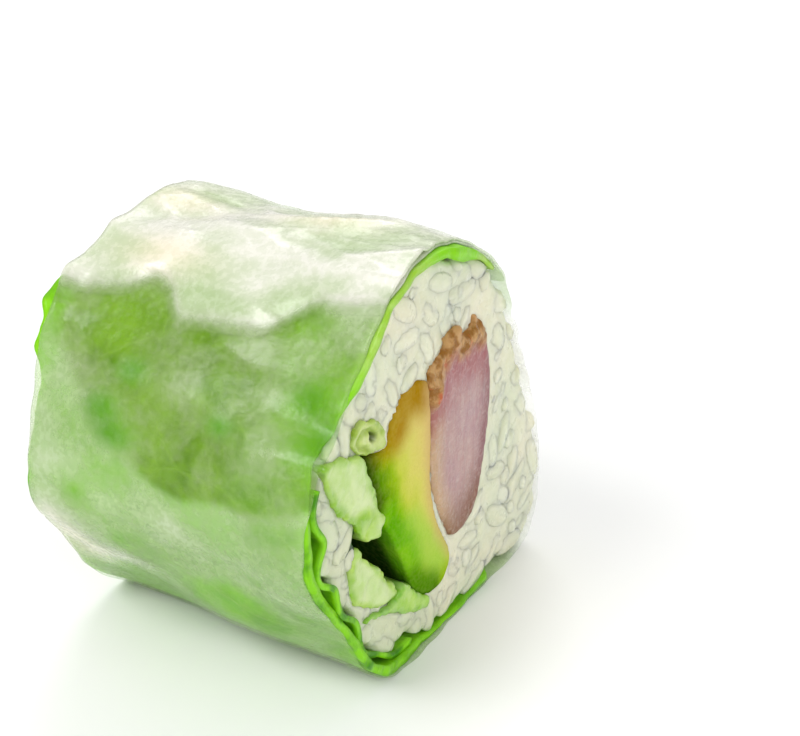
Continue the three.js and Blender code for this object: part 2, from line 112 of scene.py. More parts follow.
def bump(turned, middle, width):
    return np.exp(-(((turned - middle) / width) ** 2))


def around(angle, middle, width):
    """1 at one turn in degrees, falling off softly to both sides of it."""
    return np.exp(-((((np.degrees(angle) - middle + 180) % 360 - 180) / width) ** 2))


def swells_at(angle, swells):
    """The sum of a table's soft swells: middle, half width and height of each."""
    return sum(height * around(angle, middle, width) for middle, width, height in swells)


def through(knots, place):
    """A smooth closed curve through the knots, read at places that are counted in knots."""
    index = np.floor(place).astype(int)
    t = place - index
    if knots.ndim > 1:
        t = t[:, None]
    a, b, c, d = (knots[(index + step) % len(knots)] for step in (-1, 0, 1, 2))
    return 0.5 * (2 * b + (c - a) * t + (2 * a - 5 * b + 4 * c - d) * t**2 + (3 * b - a - 3 * c + d) * t**3)


# %% The outline of the section
SMALL_TURN = 0.01


def depth_share(x):
    """0 at the front cut and 1 at the rear one."""
    return (FRONT - x) / ROLL_LENGTH


def turn_of(angle):
    return FLAP_FROM + (np.degrees(angle) - FLAP_FROM) % 360


def plain_radius(angle):
    return through(PAPER_RADII, (angle / (2 * np.pi)) % 1 * len(PAPER_RADII))


def relief(angle, x):
    """Dents and swells of the section, in mm."""
    dents = (
        0.34 * np.sin(3 * angle + 0.13 * x + 0.4) * np.cos(0.16 * x + 1.1)
        + 0.28 * np.sin(5 * angle - 0.22 * x + 2.0)
        + 0.16 * np.sin(8 * angle + 0.34 * x + 1.0)
    )
    dent = REAR_DENT_DEPTH * bump(turn_of(angle), **REAR_DENT) * np.maximum(0, depth_share(x)) ** 2
    front = swells_at(angle, FRONT_SWELLS) * smoothstep(x, 3, FRONT - 1)
    return dents - dent + front + swells_at(angle, REAR_SWELLS) * smoothstep(-x, 3, FRONT - 1)


def layer_point(angle, x, inset):
    """Points at a given inset under the paper's outer surface, as an array of rows x, y, z."""
    size = 1 - REAR_TAPER * depth_share(x)
    behind, radius, ahead = (
        (plain_radius(angle + step) + relief(angle + step, x)) * size for step in (-SMALL_TURN, 0, SMALL_TURN)
    )
    lean = np.arctan2((ahead - behind) / (2 * SMALL_TURN), radius)
    y = radius * np.cos(angle) - inset * np.cos(angle - lean)
    z = AXIS_HEIGHT * size + radius * np.sin(angle) - inset * np.sin(angle - lean)
    settled = inset + SOLE_SOFTNESS * np.logaddexp(0, (z - inset) / SOLE_SOFTNESS)
    x, y, z = np.broadcast_arrays(x, y, np.maximum(settled, 0))
    return np.stack([x, y, z], axis=-1)


# %% Where the sheets end, and how deep each layer lies
def flap_edge(x):
    """The turn at which the free end of the paper lies: it hangs lower in the middle of the slice."""
    hang = 7.8 * window(x, -5.8, -2.8, 4.5, 9.5)
    tuck = 4.5 * bump(x, -7.4, 1.8)
    return 124.8 - 0.42 * x + hang - tuck


def leaf_to(x):
    return LEAF_TO + 22 * np.sin(np.pi * depth_share(x)) + 12 * depth_share(x)


def leaf_tips(turned):
    """How far the frilly tips of the leaf stand out at the rear, in mm."""
    return sum(reach * bump(turned, middle, width) for middle, width, reach in LEAF_TIPS)


def tip_flare(turned, x):
    """How far the tips, and the film that lies on them, lean outwards at the rear, in mm."""
    wave = 1.3 + 0.3 * np.sin(23 * np.radians(turned) + 2)
    return wave * near_cut(-x, 1.5, -1.5) * leaf_tips(turned % 360)


def frayed_end(angle, phase):
    return 0.22 * np.sin(3 * angle + phase) + 0.16 * np.sin(7 * angle + 2 * phase)


def bare_share(angle, x):
    """1 where no leaf lies between the film and the rice."""
    turned = turn_of(angle)
    return window(turned, leaf_to(x) + 4, leaf_to(x) + 22, 386, 402)


def flap_inset(turned):
    return (PAPER_THICKNESS + GAP) * fade(turned, FLAP_TO, FLAP_TO + FLAP_EASE)


def paper_depth(angle):
    turned = np.degrees(angle) % 360
    return PAPER_THICKNESS + smoothstep(turned, FLAP_FROM - 14, FLAP_FROM - 4) * flap_inset(turned)


def leaf_thickness(angle):
    folds = sum(extra * bump(turn_of(angle), middle, width) for middle, width, extra in LEAF_FOLDS)
    return LEAF_THICKNESS * (1 + folds - swells_at(angle, LEAF_THIN))


def leaf_lift(angle, x):
    """The leaf's free edge at the lower right leaves the film near the front cut."""
    return 0.4 * around(angle, 303, 10) * near_cut(x, 8, 1)


def inner_gap(angle, x):
    """How far the crumpled inner fold of the leaf stands off the outer layer, which leaves small hollows."""
    front, rear = swells_at(angle, FRONT_GAPS), swells_at(angle, REAR_GAPS)
    return 0.1 + front * near_cut(x, 7, 1) + rear * near_cut(-x, 7, 1)


def rice_depth(angle, x):
    """How deep the rice starts, under all that wraps it there."""
    turned = np.degrees(angle) % 360

    def within(low, high, ease):
        return np.minimum(smoothstep(turned, low - ease, low - 2), fade(turned, high + 2, high + ease))

    leaf = (GAP + leaf_thickness(angle) + leaf_lift(angle, x)) * within(LEAF_FROM, leaf_to(x), 12)
    inner = (2 * GAP + INNER_LEAF_THICKNESS + inner_gap(angle, x)) * within(INNER_FROM, INNER_TO, 8)
    hollow = 0.6 * around(angle, 253, 4) * near_cut(x, 5, 1)
    return paper_depth(angle) + leaf + inner + hollow + GAP + 0.03


print("free end of the paper, degrees round", round(flap_edge(0.0), 1), "and end of the leaf", leaf_to(0.0))

# %% [markdown]
# ## Creases and puckers
# Thin wet sheets cling to what they wrap, so small puckers go through the paper and the leaf alike. They come
# from Perlin noise, read at points in space. Stretching the points along the roll stretches the puckers too.

# %% Noise over arrays of points
def noise_at(points, scale, seed):
    """Perlin noise from -1 to 1 at rows of x, y, z, with one bump about every 1 / scale."""
    shift = Vector((seed * 7.31, seed * 3.17, seed * 5.93))
    rows = points.reshape(-1, 3) * np.asarray(scale)
    values = [noise.noise(Vector(row) + shift) for row in rows.tolist()]
    return np.array(values).reshape(points.shape[:-1])


def ridges_at(points, scale, seed):
    """Sharp creases: 1 along thin lines, falling off to 0 between them."""
    return (1 - np.abs(noise_at(points, scale, seed)) * 2.2).clip(0, 1) ** 3


def puckers(angle, x):
    """How far the clinging layers stand out, in mm."""
    points = layer_point(angle, x, 0)
    soft = 0.16 * noise_at(points, (0.10, 0.22, 0.22), 1) + 0.07 * noise_at(points, (0.35, 0.5, 0.5), 2)
    creases = 0.10 * ridges_at(points, (0.07, 0.2, 0.16), 3)
    on_sole = smoothstep(points[..., 2], 0.2, 2.5)
    return (soft - creases) * on_sole


# %% [markdown]
# ## From arrays to pieces
# Each piece starts as a bmesh shape, and its vertices are then moved to their places. A piece is written in
# metres, rides on the slice's one body, gets its finish, and hides the CAD node that it stands in for.

# %% Read and write vertices
def vertex_rows(bm):
    return np.array([vert.co for vert in bm.verts])


def move_vertices(verts, points):
    for vert, point in zip(verts, points):
        vert.co = point


def mesh_rows(mesh):
    rows = np.empty(3 * len(mesh.vertices), dtype=np.float32)
    mesh.vertices.foreach_get("co", rows)
    return rows.reshape(-1, 3).astype(float)


def set_mesh_rows(mesh, rows):
    mesh.vertices.foreach_set("co", rows.astype(np.float32).ravel())
    mesh.update()


def store(piece, sides=1, **columns):
    """Stores columns of numbers per vertex. A sheet's second side repeats its first."""
    for name, values in columns.items():
        attribute = piece.data.attributes.new(name, "FLOAT", "POINT")
        attribute.data.foreach_set("value", np.tile(values, sides).astype(np.float32))


# %% Make and finish a piece
def to_object(name, bm):
    """A new object in the scene from a bmesh that is still in millimetres."""
    mesh = bpy.data.meshes.new(name)
    bm.to_mesh(mesh)
    bm.free()
    piece = bpy.data.objects.new(name, mesh)
    bpy.context.scene.collection.objects.link(piece)
    return piece


def finish_piece(piece, material, node):
    """Scales the mesh to metres, smooths it, adds the finish, rides on the body and hides its CAD node."""
    piece.data.transform(Matrix.Scale(MM, 4))
    piece.data.shade_smooth()
    piece.data.materials.clear()
    piece.data.materials.append(material)
    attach(piece, "root")
    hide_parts(node)
    print(piece.name, "faces", len(piece.data.polygons))


def add_modifier(piece, kind, **settings):
    modifier = piece.modifiers.new(kind.lower(), kind)
    for name, value in settings.items():
        setattr(modifier, name, value)


def apply_modifiers(piece):
    """Bakes the piece's modifiers into a new mesh."""
    depsgraph = bpy.context.evaluated_depsgraph_get()
    mesh = bpy.data.meshes.new_from_object(piece.evaluated_get(depsgraph))
    piece.modifiers.clear()
    piece.data = mesh


def grid_piece(name, across, along, place, thickness):
    """A sheet from a flat grid: place(u, v) gives outer points, their share of the thickness, and masks."""
    bm = bmesh.new()
    bmesh.ops.create_grid(bm, x_segments=across, y_segments=along, size=0.5, calc_uvs=True)
    rows = vertex_rows(bm)
    points, share, columns = place(rows[:, 0] + 0.5, rows[:, 1] + 0.5)
    move_vertices(bm.verts, points)
    piece = to_object(name, bm)
    group = piece.vertex_groups.new(name="thick")
    for index, weight in enumerate(np.broadcast_to(share, len(rows)).tolist()):
        group.add([index], weight, "REPLACE")
    add_modifier(piece, "SOLIDIFY", thickness=thickness, offset=-1, vertex_group="thick")
    apply_modifiers(piece)
    store(piece, 2, **columns)
    return piece


# %% [markdown]
# ## Node groups that several finishes share
# Two patterns come back in most of these foods. A mottle is soft noise pressed into a mask between 0 and 1.
# Veins are the thin lines between Voronoi cells, as in a leaf. Each is one group with named inputs, and each
# material gives it its own scale. Object coordinates are in metres, so a Mapping node first makes them
# millimetres, and a scale of 0.5 then means one blotch about every 2 mm.

# %% Add nodes with what their sockets hold
def linear(colour):
    """A colour as the eye names it, 0 to 255, made linear for the shader, with full opacity."""
    shares = [level / 255 for level in colour]
    return [*(s / 12.92 if s <= 0.04045 else ((s + 0.055) / 1.055) ** 2.4 for s in shares), 1.0]


def put(tree, value, socket):
    """Links an output to a socket, or sets a number, a vector or a colour on it."""
    if isinstance(value, bpy.types.NodeSocket):
        tree.links.new(value, socket)
    elif socket.type == "RGBA":
        socket.default_value = linear(value)
    else:
        socket.default_value = value


def add_node(tree, kind, sockets, **options):
    """A new node with its options, and its sockets by name or number."""
    node = tree.nodes.new("ShaderNode" + kind)
    for name, option in options.items():
        setattr(node, name, option)
    for label, value in sockets.items():
        put(tree, value, node.inputs[label])
    return node


# %% Build the node groups
def new_group(name, **numbers):
    """An empty group that will turn a vector and some numbers into one mask."""
    group = bpy.data.node_groups.new(name, "ShaderNodeTree")
    group.interface.new_socket("Vector", in_out="INPUT", socket_type="NodeSocketVector")
    for label, value in numbers.items():
        socket = group.interface.new_socket(label, in_out="INPUT", socket_type="NodeSocketFloat")
        socket.default_value = value
    group.interface.new_socket("Mask", in_out="OUTPUT", socket_type="NodeSocketFloat")
    return group, group.nodes.new("NodeGroupInput").outputs, group.nodes.new("NodeGroupOutput").inputs


def add_spread(group, result, sockets):
    """The last node of both groups: it stretches a value softly into the mask."""
    spread = add_node(group, "MapRange", sockets, interpolation_type="SMOOTHSTEP")
    group.links.new(spread.outputs["Result"], result["Mask"])


def make_mottle_group():
    group, given, result = new_group("mottle", Scale=0.5, Detail=3.0, Low=0.35, High=0.65)
    texture = add_node(group, "TexNoise", {label: given[label] for label in ("Vector", "Scale", "Detail")})
    spread = {"Value": texture.outputs["Fac"], "From Min": given["Low"], "From Max": given["High"]}
    add_spread(group, result, spread)
    return group


def make_vein_group():
    group, given, result = new_group("veins", Scale=0.3, Width=0.08)
    warp = add_node(group, "TexNoise", {"Vector": given["Vector"], "Scale": 0.4})
    terms = {0: warp.outputs["Color"], 1: (1.6, 1.6, 1.6), 2: given["Vector"]}
    bend = add_node(group, "VectorMath", terms, operation="MULTIPLY_ADD")
    place = {"Vector": bend.outputs["Vector"], "Scale": given["Scale"]}
    cells = add_node(group, "TexVoronoi", place, feature="DISTANCE_TO_EDGE")
    edge = {"Value": cells.outputs["Distance"], "From Max": given["Width"], "To Min": 1.0, "To Max": 0.0}
    add_spread(group, result, edge)
    return group


MOTTLE = make_mottle_group()
VEINS = make_vein_group()
print("node groups", MOTTLE.name, VEINS.name)


# %% A small kit for materials
COAT_ROUGHNESS = 0.12
MIX_SHARE, MIX_FIRST, MIX_SECOND, MIX_RESULT = 0, 6, 7, 2


class Finish:
    """One material, with short ways to add the nodes that these foods need. Its light goes under the surface
    by a weight, a radius for each colour, and a depth in mm."""

    def __init__(self, name, roughness, under=0.0, radius=(1.0, 0.6, 0.3), depth=1.0, coat=0.0, gloss=0.5):
        self.material = bpy.data.materials.new(name)
        self.material.use_nodes = True
        self.tree = self.material.node_tree
        self.feed(
            Roughness=roughness, Specular_IOR_Level=gloss, Coat_Weight=coat, Coat_Roughness=COAT_ROUGHNESS,
            Subsurface_Weight=under, Subsurface_Radius=radius, Subsurface_Scale=depth * MM,
        )
        sockets = {"Vector": self.node("TexCoord").outputs["Object"], "Scale": (1 / MM, 1 / MM, 1 / MM)}
        self.place = self.node("Mapping", sockets).outputs["Vector"]

    def feed(self, **sockets):
        """Sets or links sockets of the shader."""
        for label, value in sockets.items():
            put(self.tree, value, self.tree.nodes["Principled BSDF"].inputs[label.replace("_", " ")])

    def node(self, kind, sockets=None, **options):
        """A new node, in whose sockets a plain name stands for that attribute of the mesh."""
        sockets = {
            label: self.attribute(value) if isinstance(value, str) else value
            for label, value in (sockets or {}).items()
        }
        return add_node(self.tree, kind, sockets, **options)

    def attribute(self, name):
        return self.node("Attribute", attribute_name=name).outputs["Fac"]

    def stretched(self, scale, turn):
        """The millimetre coordinates again, stretched for a pattern that runs one way."""
        sockets = {"Vector": self.place, "Scale": scale, "Rotation": [math.radians(angle) for angle in turn]}
        return self.node("Mapping", sockets).outputs["Vector"]

    def mottle(self, scale, low=0.35, high=0.65, detail=3.0, vector=None):
        sockets = {"Vector": vector or self.place, "Scale": scale, "Low": low, "High": high, "Detail": detail}
        return self.node("Group", sockets, node_tree=MOTTLE).outputs["Mask"]

    def veins(self, scale, width):
        sockets = {"Vector": self.place, "Scale": scale, "Width": width}
        return self.node("Group", sockets, node_tree=VEINS).outputs["Mask"]

    def math(self, operation, first, second, clamp=False):
        return self.node("Math", {0: first, 1: second}, operation=operation, use_clamp=clamp).outputs["Value"]

    def mix(self, share, first, second):
        """A colour between two, by a share that is a number, a mask or the name of an attribute."""
        sockets = {MIX_SHARE: share, MIX_FIRST: first, MIX_SECOND: second}
        return self.node("Mix", sockets, data_type="RGBA").outputs[MIX_RESULT]

    def layered(self, colour, *layers):
        """Colours laid over one another, each by its own share."""
        for share, layer in layers:
            colour = self.mix(share, colour, layer)
        return colour

    def range(self, value, low, high):
        """A mask stretched between two values."""
        return self.node("MapRange", {"Value": value, "To Min": low, "To Max": high}).outputs["Result"]

    def bump(self, height, distance, strength):
        """Relief too fine for the mesh: the mask's height in mm, fed to the shader's normal."""
        sockets = {"Distance": distance * MM, "Strength": strength, "Height": height}
        self.feed(Normal=self.node("Bump", sockets).outputs["Normal"])


# %% [markdown]
# ## The fillings
# Each filling is a strip: a smooth closed outline at the front face that is carried to the rear face, where
# the whole filling has drifted and turned a little. A voxel remesh then gives the strip an even skin with
# soft cut edges, and each vertex is moved by noise to make the relief of that food.


# %% Outlines at the front face, as y and z in millimetres
FISH_OUTLINE = [
    (-1.5, 27.0), (-1.1, 28.8), (0.5, 29.5), (1.5, 30.7), (2.9, 31.3), (4.2, 30.2), (5.6, 30.0), (6.3, 31.0),
    (7.3, 30.8), (8.5, 29.0), (9.6, 25.9), (10.1, 22.5), (9.8, 19.5), (9.1, 15.8), (8.4, 12.9), (7.3, 10.3),
    (5.4, 9.2), (3.7, 9.0), (2.6, 9.6), (1.7, 11.0), (0.5, 13.2), (-0.5, 16.2), (-1.1, 20.2), (-1.0, 24.2),
]
AVOCADO_OUTLINE = [
    (-1.6, 27.9), (-3.4, 28.6), (-4.9, 28.6), (-6.1, 28.3), (-6.7, 27.6), (-7.4, 26.8), (-8.0, 25.8),
    (-8.3, 24.7), (-9.2, 24.4), (-10.6, 24.7), (-11.7, 24.9), (-11.4, 23.6), (-10.8, 22.2), (-10.2, 20.5),
    (-9.8, 18.9), (-9.0, 17.0), (-8.6, 16.2), (-7.7, 14.8), (-6.6, 12.8), (-5.7, 11.0), (-4.9, 9.3),
    (-4.2, 7.6), (-2.8, 5.9), (-0.7, 4.9), (1.4, 5.0), (2.7, 6.4), (2.6, 8.2), (1.7, 10.0), (0.4, 12.6),
    (-0.5, 15.8), (-1.0, 20.0), (-0.9, 24.0), (-1.1, 26.6),
]
UPPER_HEART_OUTLINE = [
    (-18.0, 27.0), (-16.6, 27.2), (-15.0, 26.6), (-12.6, 25.6), (-11.7, 24.3), (-11.3, 23.0), (-10.7, 21.6),
    (-10.1, 20.2), (-9.7, 18.8), (-9.1, 17.4), (-9.8, 16.5), (-11.2, 16.3), (-12.7, 17.7), (-13.8, 19.3),
    (-15.0, 20.6), (-16.7, 22.6), (-17.8, 25.0),
]
LOWER_HEART_OUTLINE = [
    (-13.5, 17.0), (-12.6, 16.0), (-11.6, 15.0), (-10.6, 13.6), (-9.3, 12.2), (-8.3, 11.0), (-7.3, 9.6),
    (-6.8, 8.6), (-7.4, 8.1), (-9.9, 8.7), (-12.0, 9.9), (-13.8, 11.4), (-14.7, 13.4), (-14.4, 15.6),
]
POCKET_OUTLINE = [
    (-13.7, 17.7), (-12.0, 15.1), (-10.5, 13.0), (-8.9, 10.9), (-7.2, 8.8), (-6.0, 7.6), (-4.8, 7.4),
    (-4.2, 8.8), (-5.6, 12.0), (-7.4, 15.4), (-8.6, 17.6), (-10.4, 16.6), (-12.0, 17.9),
]
POCKET_DEPTH = 8
BESIDE_AVOCADO = [(-11.6, 24.0), (-10.4, 21.0), (-9.7, 18.6), (-9.0, 16.2)]
CURL_OUTLINE = [
    (-13.6, 26.5), (-14.2, 27.5), (-13.6, 28.6), (-12.2, 28.8), (-10.6, 28.1), (-9.4, 27.0), (-8.8, 25.8),
    (-9.4, 24.9), (-11.1, 25.2), (-12.5, 25.8),
]
CURL_HOLE = [(-11.0, 26.75), (-10.6, 26.4)]
CURL_SEAM = [(-10.6, 26.6), (-11.4, 27.6), (-12.6, 27.8), (-13.2, 27.2), (-12.8, 26.5), (-11.8, 26.0)]
SHRED_OUTLINE = [
    (-12.6, 8.5), (-11.0, 8.8), (-9.4, 8.3), (-8.2, 8.0), (-7.0, 8.4), (-6.1, 9.0), (-5.1, 8.5), (-3.6, 6.9),
    (-2.0, 5.6), (-1.2, 4.7), (-2.0, 4.1), (-3.6, 4.5), (-5.8, 5.7), (-8.4, 7.1), (-10.6, 8.0),
]


# %% From an outline to a strip
FILLING_VOXEL = 0.34
FILLING_TURN, FILLING_TAPER, FILLING_BOW = 7, 0.05, 0.35
DRIFT_ACROSS, DRIFT_DOWN = 0.5, 0.3


def closed_curve(corners, count):
    """Points spaced along a smooth closed curve through the corners."""
    return through(np.array(corners, dtype=float), np.linspace(0, len(corners), count, endpoint=False))


def carried(points, x):
    """Outline points y, z of the front face, where they lie at a place along the roll."""
    t = depth_share(x)
    turn = np.radians(FILLING_TURN) * t
    y = points[..., 0] * (1 - FILLING_TAPER * t)
    z = (points[..., 1] - AXIS_HEIGHT) * (1 - FILLING_TAPER * t)
    across = y * np.cos(turn) - z * np.sin(turn) - DRIFT_ACROSS * t + FILLING_BOW * np.sin(np.pi * t)
    up = AXIS_HEIGHT + y * np.sin(turn) + z * np.cos(turn) - DRIFT_DOWN * t
    return np.stack([across, up], axis=-1)


def carried_back(points):
    """The reverse: where on the front face's outline a point x, y, z of the strip belongs."""
    t = depth_share(points[:, 0])
    turn = np.radians(FILLING_TURN) * t
    y = points[:, 1] + DRIFT_ACROSS * t - FILLING_BOW * np.sin(np.pi * t)
    z = points[:, 2] - AXIS_HEIGHT + DRIFT_DOWN * t
    size = 1 - FILLING_TAPER * t
    across = (y * np.cos(turn) + z * np.sin(turn)) / size
    return np.stack([across, AXIS_HEIGHT + (z * np.cos(turn) - y * np.sin(turn)) / size], axis=-1)


def ring_solid(name, rings):
    """A solid through rings of points: each circle's vertices are moved, then bridged to the next circle."""
    bm = bmesh.new()
    loops = []
    for index, points in enumerate(rings):
        is_end = index in (0, len(rings) - 1)
        circle = bmesh.ops.create_circle(bm, cap_ends=is_end, segments=len(points), radius=1)
        move_vertices(circle["verts"], points)
        loops.append({edge for vert in circle["verts"] for edge in vert.link_edges})
    for near, far in zip(loops, loops[1:]):
        bmesh.ops.bridge_loops(bm, edges=list(near | far))
    bmesh.ops.recalc_face_normals(bm, faces=bm.faces)
    return to_object(name, bm)


def strip_piece(name, outline, front, rear, steps=10):
    """A solid strip: the outline carried step by step along the roll."""
    stations = np.linspace(rear, front, steps + 1)
    rings = [np.column_stack([np.full(len(outline), x), carried(outline, x)]) for x in stations]
    return ring_solid(name, rings)


def remeshed(piece, voxel, rounds=6):
    """An even skin with soft edges: a voxel remesh and a little smoothing. Gives the vertices and normals."""
    add_modifier(piece, "REMESH", mode="VOXEL", voxel_size=voxel)
    add_modifier(piece, "SMOOTH", factor=0.5, iterations=rounds)
    apply_modifiers(piece)
    return mesh_rows(piece.data), np.array([vert.normal for vert in piece.data.vertices])


def strip_skin(name, outline, proud, voxel):
    """A remeshed strip that stands proud of both cuts, its vertices, normals and places on the outline."""
    piece = strip_piece(name, outline, FRONT + proud, -(FRONT + proud))
    rows, normals = remeshed(piece, voxel)
    return piece, rows, normals, carried_back(rows)


# %% Distances in the plane of the cut
def distance_to(points, path):
    """The distance in the plane of the cut from each point to a path of corners."""
    path = np.array(path, dtype=float)
    best = np.full(len(points), 1e9)
    for a, b in zip(path[:-1], path[1:]):
        t = np.clip(((points - a) @ (b - a)) / ((b - a) @ (b - a)), 0, 1)
        best = np.minimum(best, np.linalg.norm(points - (a + t[:, None] * (b - a)), axis=1))
    return best


def distance_to_edge(points, outline):
    """The distance from each point to a closed outline."""
    return distance_to(points, np.vstack([outline, outline[:1]]))


def patches_near(flat, patches, shift=0.0):
    """One mask per named patch: its strength, fading out between two distances from its path."""
    return {
        name: strength * fade(distance_to(flat, path) + shift, near, far)
        for name, (path, strength, near, far) in patches.items()
    }


# %% [markdown]
# ### Avocado
# A slice of avocado is dark green where the skin was, then bright green, then pale yellow towards the stone,
# and it browns where air has reached it. The distance from the skin side is stored per vertex, and so is a
# mask for each patch that is limier, fresher, deeper green or amber. A last mask paints shade on the skin
# side a little behind the cut, where the gap beside it lies in shadow.


# %% Finish of the avocado
def avocado_finish():
    flesh = Finish("avocado_flesh", 0.4, 0.1, (1.0, 0.8, 0.2), 0.4, gloss=0.0)
    cloud = flesh.mottle(0.35, 0.3, 0.7, 2)
    grainy = flesh.mottle(2.4, 0.3, 0.7, 2)
    skin = flesh.math("ADD", "skin", flesh.range(cloud, -0.05, 0.05))
    ramp = flesh.node("ValToRGB", {"Fac": skin})
    stops = [
        (0.0, (50, 78, 0)), (0.08, (64, 98, 0)), (0.16, (90, 136, 0)), (0.3, (142, 178, 18)),
        (0.45, (186, 197, 68)), (0.65, (205, 200, 98)), (1.0, (212, 192, 112)),
    ]
    while len(ramp.color_ramp.elements) < len(stops):
        ramp.color_ramp.elements.new(0.5)
    for element, (position, colour) in zip(ramp.color_ramp.elements, stops):
        element.position = position
        element.color = linear(colour)
    colour = flesh.layered(
        ramp.outputs["Color"],
        ("lime", (158, 200, 76)),
        ("fresh", flesh.mix(cloud, (92, 164, 0), (122, 184, 16))),
        ("deep", (78, 132, 0)),
        (flesh.math("MULTIPLY", "amber", flesh.range(cloud, 0.85, 1.0)), (156, 116, 0)),
        # painted shade: the skin side goes dark a little behind the cut, where the gap beside it is in shadow
        ("buried", (30, 66, 4)),
        (flesh.math("MULTIPLY", "seam", 0.7), (200, 166, 112)),
        (flesh.range(grainy, 0.0, 0.05), (236, 228, 150)),
    )
    flesh.feed(Base_Color=colour, Roughness=flesh.range(cloud, 0.32, 0.46))
    flesh.bump(flesh.math("ADD", cloud, grainy), 0.1, 0.3)
    return flesh.material


# %% Form of the avocado
SEAM = [(-1.2, 27.0), (-0.9, 24.5), (-1.0, 20.0), (-0.4, 15.5), (1.0, 11.6), (2.7, 8.8)]
SKIN_SIDE = [
    (-11.7, 24.9), (-11.4, 23.6), (-10.2, 20.5), (-9.0, 17.0), (-7.7, 14.8), (-5.7, 11.0), (-4.6, 8.3),
    (-2.8, 5.9), (-0.7, 4.9),
]
SKIN_TO_STONE = 8.5
AVOCADO_PATCHES = {  # path, strength, and the distances between which the patch fades out
    "lime": ([(-4.6, 14.0), (-2.6, 11.6), (0.4, 8.8)], 0.75, 0.8, 3.4),
    "fresh": ([(-8.0, 17.2), (-6.6, 14.6), (-5.0, 11.6), (-4.4, 9.6)], 0.9, 0.3, 2.8),
    "deep": ([(-4.2, 8.6), (-3.0, 7.2), (-1.2, 6.2)], 0.9, 0.2, 2.4),
    "amber": ([(-7.6, 26.2), (-7.0, 27.2), (-5.9, 28.2), (-3.6, 28.6), (-1.8, 27.9)], 1.0, 1.4, 4.6),
    "seam": (SEAM, 1.0, 0.1, 2.2),
}


def make_avocado():
    outline = closed_curve(AVOCADO_OUTLINE, 120)
    piece, rows, normals, flat = strip_skin("avocado_slice", outline, -0.1, FILLING_VOXEL)
    soft = 0.14 * noise_at(rows, 0.22, 31) + 0.04 * noise_at(rows, 0.9, 32)
    skin = distance_to(flat, SKIN_SIDE)
    # Painted shade on the skin side, stronger deeper behind the cut, where the gap beside the avocado is in
    # shadow.
    buried = smoothstep(FRONT - np.abs(rows[:, 0]), 1.0, 2.6) * fade(skin, 0.1, 0.9)
    store(piece, skin=skin / SKIN_TO_STONE, buried=buried, **patches_near(flat, AVOCADO_PATCHES))
    set_mesh_rows(piece.data, rows + normals * soft[:, None])
    return piece


finish_piece(make_avocado(), avocado_finish(), "avocado")

# %% [markdown]
# ### Seared fish
# The strip is raw inside, mauve pink with fine fibres, and browned on the side that touched the pan. The
# browned edge is craggy, so its crumbs are part of the shape, and a mask of it is stored per vertex.


# %% Finish of the fish
def fish_finish():
    fish = Finish("seared_fish_flesh", 0.38, 0.2, (1.0, 0.45, 0.4), 0.7, coat=0.05, gloss=0.25)
    fibres = fish.mottle(0.8, 0.3, 0.7, 3, fish.stretched((1.0, 1.8, 0.3), (12, 0, 0)))
    cloud = fish.mottle(0.25, 0.3, 0.7, 2)
    flecks = fish.mottle(2.2, 0.5, 0.68, 2)
    crumbs = fish.mottle(1.1, 0.36, 0.64, 3)
    crust = fish.mix(crumbs, (140, 92, 20), (188, 146, 92))
    crust = fish.mix(fish.mottle(0.42, 0.58, 0.7, 2), crust, (190, 92, 48))
    colour = fish.layered(
        fish.mix(fish.range(fibres, 0.0, 0.5), (178, 146, 146), (160, 120, 126)),
        (fish.range(cloud, 0.0, 0.35), (190, 160, 144)),
        (fish.math("MULTIPLY", "seam", 0.7), (194, 164, 118)),
        ("rim", (130, 82, 86)),
        ("flush", (156, 92, 94)),
        ("foot", (126, 84, 56)),
        (fish.range(flecks, 0.0, 0.2), (208, 188, 180)),
        ("sear", crust),
    )
    fish.feed(Base_Color=colour, Roughness=fish.range(fibres, 0.3, 0.46))
    fish.bump(fish.math("ADD", fibres, crumbs), 0.12, 0.6)
    return fish.material


# %% Form of the fish
FISH_TOP = FISH_OUTLINE[:9] + [(8.2, 29.6)]
FISH_PATCHES = {  # path, strength, and the distances between which the patch fades out
    "rim": (FISH_OUTLINE[9:16], 0.9, 0.5, 3.0),
    "foot": ([(7.3, 10.3), (5.2, 9.0), (2.4, 8.6)], 0.9, 0.4, 6.5),
    "seam": (SEAM, 1.0, 0.2, 2.8),
}
SEARED = {"sear": (FISH_TOP, 1.0, 1.4, 3.2), "flush": (FISH_TOP, 0.85, 3.2, 7.0)}  # with a ragged edge


def make_fish():
    outline = closed_curve(FISH_OUTLINE, 120)
    piece, rows, normals, flat = strip_skin("seared_fish_strip", outline, 0.1, FILLING_VOXEL)
    seared = patches_near(flat, SEARED, shift=0.9 * noise_at(rows, 0.5, 41))
    crags = seared["sear"] * (0.55 * noise_at(rows, 0.8, 42) + 0.25 * noise_at(rows, 1.9, 43))
    fibres = 0.05 * noise_at(rows, (0.3, 1.6, 0.25), 44) + 0.1 * noise_at(rows, 0.2, 45)
    store(piece, **seared, **patches_near(flat, FISH_PATCHES))
    set_mesh_rows(piece.data, rows + normals * (crags + fibres)[:, None])
    return piece


finish_piece(make_fish(), fish_finish(), "seared_fish")
